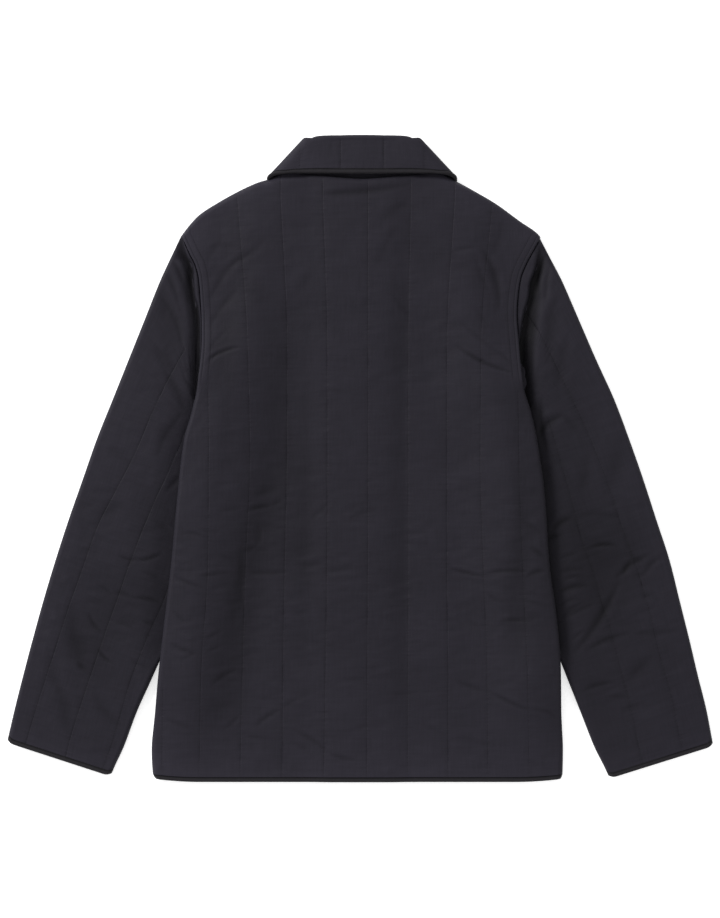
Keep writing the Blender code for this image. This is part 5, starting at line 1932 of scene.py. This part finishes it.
def material_of(name):
    """One of the jacket's materials, made from the settings the first time that a piece asks for it."""
    found = bpy.data.materials.get(name)
    if found:
        return found
    settings = bpy.context.scene.jacket_cloth
    groups = [bpy.data.node_groups.get(label) for label in ("Plain weave", "Stitch puckers", "Crumple")]
    if None in groups:
        groups = [weave_group(), pucker_group(), crumple_group()]
    if name == "navy_cloth":
        return cloth_material(name, settings.cloth_colour, settings, settings.threads, groups)
    if name == "binding_cloth":
        return cloth_material(name, settings.binding_colour, settings, settings.threads * 0.8, groups, 0.6)
    return thread_material("sewing_thread", settings.thread_colour)


# ---------------------------------------------------------------- settings


def colour_property(**said):
    return FloatVectorProperty(subtype="COLOR", size=4, min=0.0, max=1.0, **said)


def share_property(**said):
    return FloatProperty(subtype="FACTOR", min=0.0, max=1.0, **said)


def length_property(**said):
    return FloatProperty(unit="LENGTH", **said)


class JacketClothSettings(bpy.types.PropertyGroup):
    """Colours and finish of the cloth, and the size of its stitches."""

    cloth_colour: colour_property(
        name="Cloth", description="Colour of the quilted cloth", default=(0.0148, 0.0134, 0.0189, 1.0)
    )
    binding_colour: colour_property(
        name="Binding", description="Colour of the bound edges", default=(0.0156, 0.0144, 0.0168, 1.0)
    )
    thread_colour: colour_property(
        name="Thread", description="Colour of the sewing thread", default=(0.0072, 0.0066, 0.0090, 1.0)
    )
    roughness: share_property(name="Roughness", description="How matte the cloth is", default=0.62)
    shine: share_property(name="Shine", description="How strongly the cloth mirrors light", default=0.1)
    sheen: share_property(
        name="Sheen", description="How much the cloth brightens where it turns away", default=0.02
    )
    threads: IntProperty(
        name="Threads per metre", description="How fine the plain weave is", min=500, max=6000, default=2400
    )
    stitch_length: length_property(
        name="Stitch length",
        description="Length of thread that shows in one stitch",
        min=0.001,
        max=0.006,
        default=0.0023,
    )
    stitch_pitch: length_property(
        name="Stitch pitch", description="From one stitch to the next", min=0.0015, max=0.008, default=0.0031
    )
    thread: length_property(
        name="Thread thickness",
        description="Thickness of the sewing thread",
        min=0.0002,
        max=0.001,
        default=0.00042,
    )


class JacketStudioSettings(bpy.types.PropertyGroup):
    """The floor, the lights and the camera."""

    floor_colour: colour_property(
        name="Floor", description="Colour of the floor", default=(0.92, 0.92, 0.92, 1.0)
    )
    sky: FloatProperty(
        name="Surrounding light",
        description="Strength of the even light from all round",
        min=0.0,
        max=5.0,
        default=0.8,
    )
    key: FloatProperty(
        name="Main light",
        description="Power of the large soft light above and to the left",
        unit="POWER",
        min=0.0,
        max=500.0,
        default=142.0,
    )
    distance: length_property(
        name="Camera distance", description="From the cloth to the camera", min=0.5, max=8.0, default=2.6
    )
    shown_width: length_property(
        name="Width shown",
        description="How much of the floor the picture takes in from side to side",
        min=0.2,
        max=4.0,
        default=0.8245,
    )


# ---------------------------------------------------------------- operators

FLOOR_SIZE = 8.0
LIGHT_PLACE, LIGHT_SIZE = (-2.7, 2.0, 1.9), 1.6
LENS = 100.0
PICTURE_MIDDLE, CLOTH_TOP = -0.0012, 0.012  # the camera is above this y, and its distance is from this height


def dress(piece, node):
    """Puts a finished piece on the jacket's body in place of a node of the frame."""
    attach(piece, "root")
    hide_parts(node)


class JACKET_OT_back(bpy.types.Operator):
    """Make the quilted back panel"""

    bl_idname = "jacket.back"
    bl_label = "Back"

    def execute(self, context):
        piece = cloth_wall("back_cloth", *back_grids(), material_of("navy_cloth"))
        dress(piece, "back")
        return {"FINISHED"}


class JACKET_OT_fronts(bpy.types.Operator):
    """Make the two fronts that the jacket lies on"""

    bl_idname = "jacket.fronts"
    bl_label = "Fronts"

    def execute(self, context):
        for side, name in ((-1, "front_left"), (1, "front_right")):
            piece = cloth_wall(name + "_cloth", *front_grids(side), material_of("navy_cloth"), coarse=3)
            dress(piece, name)
        return {"FINISHED"}


class JACKET_OT_sleeves(bpy.types.Operator):
    """Make the two sleeves"""

    bl_idname = "jacket.sleeves"
    bl_label = "Sleeves"

    def execute(self, context):
        for shape in SLEEVES:
            name = "sleeve_" + shape.name
            piece = cloth_wall(name + "_cloth", *sleeve_grids(shape), material_of("navy_cloth"), tube=True)
            dress(piece, name)
        return {"FINISHED"}


class JACKET_OT_collar(bpy.types.Operator):
    """Make the turned-down collar"""

    bl_idname = "jacket.collar"
    bl_label = "Collar"

    def execute(self, context):
        piece = cloth_wall("collar_cloth", *collar_grids(), material_of("navy_cloth"), coarse=2)
        dress(piece, "collar")
        return {"FINISHED"}


class JACKET_OT_bindings(bpy.types.Operator):
    """Make the bound edges of the hem, the cuffs and the collar"""

    bl_idname = "jacket.bindings"
    bl_label = "Bound edges"

    def execute(self, context):
        cloth = material_of("binding_cloth")
        edges = [("hem_binding", hem_places, 0.98, False), ("collar_binding", collar_places, 0.43, False)]
        edges += [("cuff_binding_" + shape.name, cuff_places(shape), 0.25, True) for shape in SLEEVES]
        for name, places, length, tube in edges:
            outer, inner, plan, *finish = tape_grids(places)
            if tube:
                plan = np.concatenate([plan, plan[:, -1:] + (2.0, 0.0)], axis=1)
            piece = cloth_wall(name + "_cloth", outer, inner, plan, *finish, cloth, coarse=1, tube=tube)
            dress(piece, name)
        return {"FINISHED"}


class JACKET_OT_stitching(bpy.types.Operator):
    """Sew the quilting seams and the rows along the edges"""

    bl_idname = "jacket.stitching"
    bl_label = "Stitches"

    def execute(self, context):
        settings = context.scene.jacket_cloth
        thread = material_of("sewing_thread")
        runs = {"stitches_back": back_rows(), "stitches_collar": collar_rows(), "stitches_hem": hem_rows()}
        for shape in SLEEVES:
            runs["stitches_sleeve_" + shape.name] = sleeve_rows(shape)
        for name, paths in runs.items():
            piece = stitches(name, paths, settings, thread)
            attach(piece, "root")
        return {"FINISHED"}


class JACKET_OT_stage(bpy.types.Operator):
    """Lay the floor and set up the lights and the camera"""

    bl_idname = "jacket.stage"
    bl_label = "Floor, lights and camera"

    def execute(self, context):
        scene = context.scene
        settings = scene.jacket_studio
        bpy.ops.object.select_all(action="DESELECT")
        bpy.ops.mesh.primitive_plane_add(size=FLOOR_SIZE, location=(0.0, 0.0, 0.0))
        floor = context.active_object
        floor.name = "floor"
        floor.data.materials.append(floor_material(settings.floor_colour))

        world = bpy.data.worlds.new("studio")
        world.use_nodes = True
        background = world.node_tree.nodes["Background"]
        background.inputs["Color"].default_value = (1.0, 1.0, 1.0, 1.0)
        background.inputs["Strength"].default_value = settings.sky
        scene.world = world

        bpy.ops.object.select_all(action="DESELECT")
        bpy.ops.object.light_add(type="AREA", location=LIGHT_PLACE)
        light = context.active_object
        light.name = "main_light"
        light.data.shape = "SQUARE"
        light.data.size = LIGHT_SIZE
        light.data.energy = settings.key
        light.rotation_euler = (-Vector(LIGHT_PLACE)).to_track_quat("-Z", "Y").to_euler()

        place = (0.0, PICTURE_MIDDLE, settings.distance + CLOTH_TOP)
        bpy.ops.object.camera_add(location=place, rotation=(0.0, 0.0, 0.0))
        camera = context.active_object
        camera.name = "camera"
        camera.data.sensor_fit = "HORIZONTAL"
        camera.data.lens = LENS
        camera.data.sensor_width = LENS * settings.shown_width / settings.distance
        scene.camera = camera
        scene.view_settings.view_transform = "Standard"
        return {"FINISHED"}


class JACKET_PT_sidebar(bpy.types.Panel):
    """The jacket's pieces and settings"""

    bl_idname = "JACKET_PT_sidebar"
    bl_label = "Quilted jacket"
    bl_space_type = "VIEW_3D"
    bl_region_type = "UI"
    bl_category = "Jacket"

    def draw(self, context):
        layout = self.layout
        for group in (context.scene.jacket_cloth, context.scene.jacket_studio):
            box = layout.box()
            for name in group.bl_rna.properties.keys():
                if name not in ("rna_type", "name"):
                    box.prop(group, name)
        for operator in OPERATORS:
            layout.operator(operator.bl_idname)


OPERATORS = (
    JACKET_OT_back,
    JACKET_OT_fronts,
    JACKET_OT_sleeves,
    JACKET_OT_collar,
    JACKET_OT_bindings,
    JACKET_OT_stitching,
    JACKET_OT_stage,
)
CLASSES = (JacketClothSettings, JacketStudioSettings, *OPERATORS, JACKET_PT_sidebar)


def register():
    for kind in CLASSES:
        bpy.utils.register_class(kind)
    bpy.types.Scene.jacket_cloth = PointerProperty(type=JacketClothSettings)
    bpy.types.Scene.jacket_studio = PointerProperty(type=JacketStudioSettings)


def unregister():
    del bpy.types.Scene.jacket_cloth
    del bpy.types.Scene.jacket_studio
    for kind in reversed(CLASSES):
        bpy.utils.unregister_class(kind)


def main():
    """Makes the whole jacket and its stage."""
    register()
    for make in (
        bpy.ops.jacket.stage,
        bpy.ops.jacket.back,
        bpy.ops.jacket.fronts,
        bpy.ops.jacket.sleeves,
        bpy.ops.jacket.collar,
        bpy.ops.jacket.bindings,
        bpy.ops.jacket.stitching,
    ):
        make()


if __name__ == "__main__":
    main()
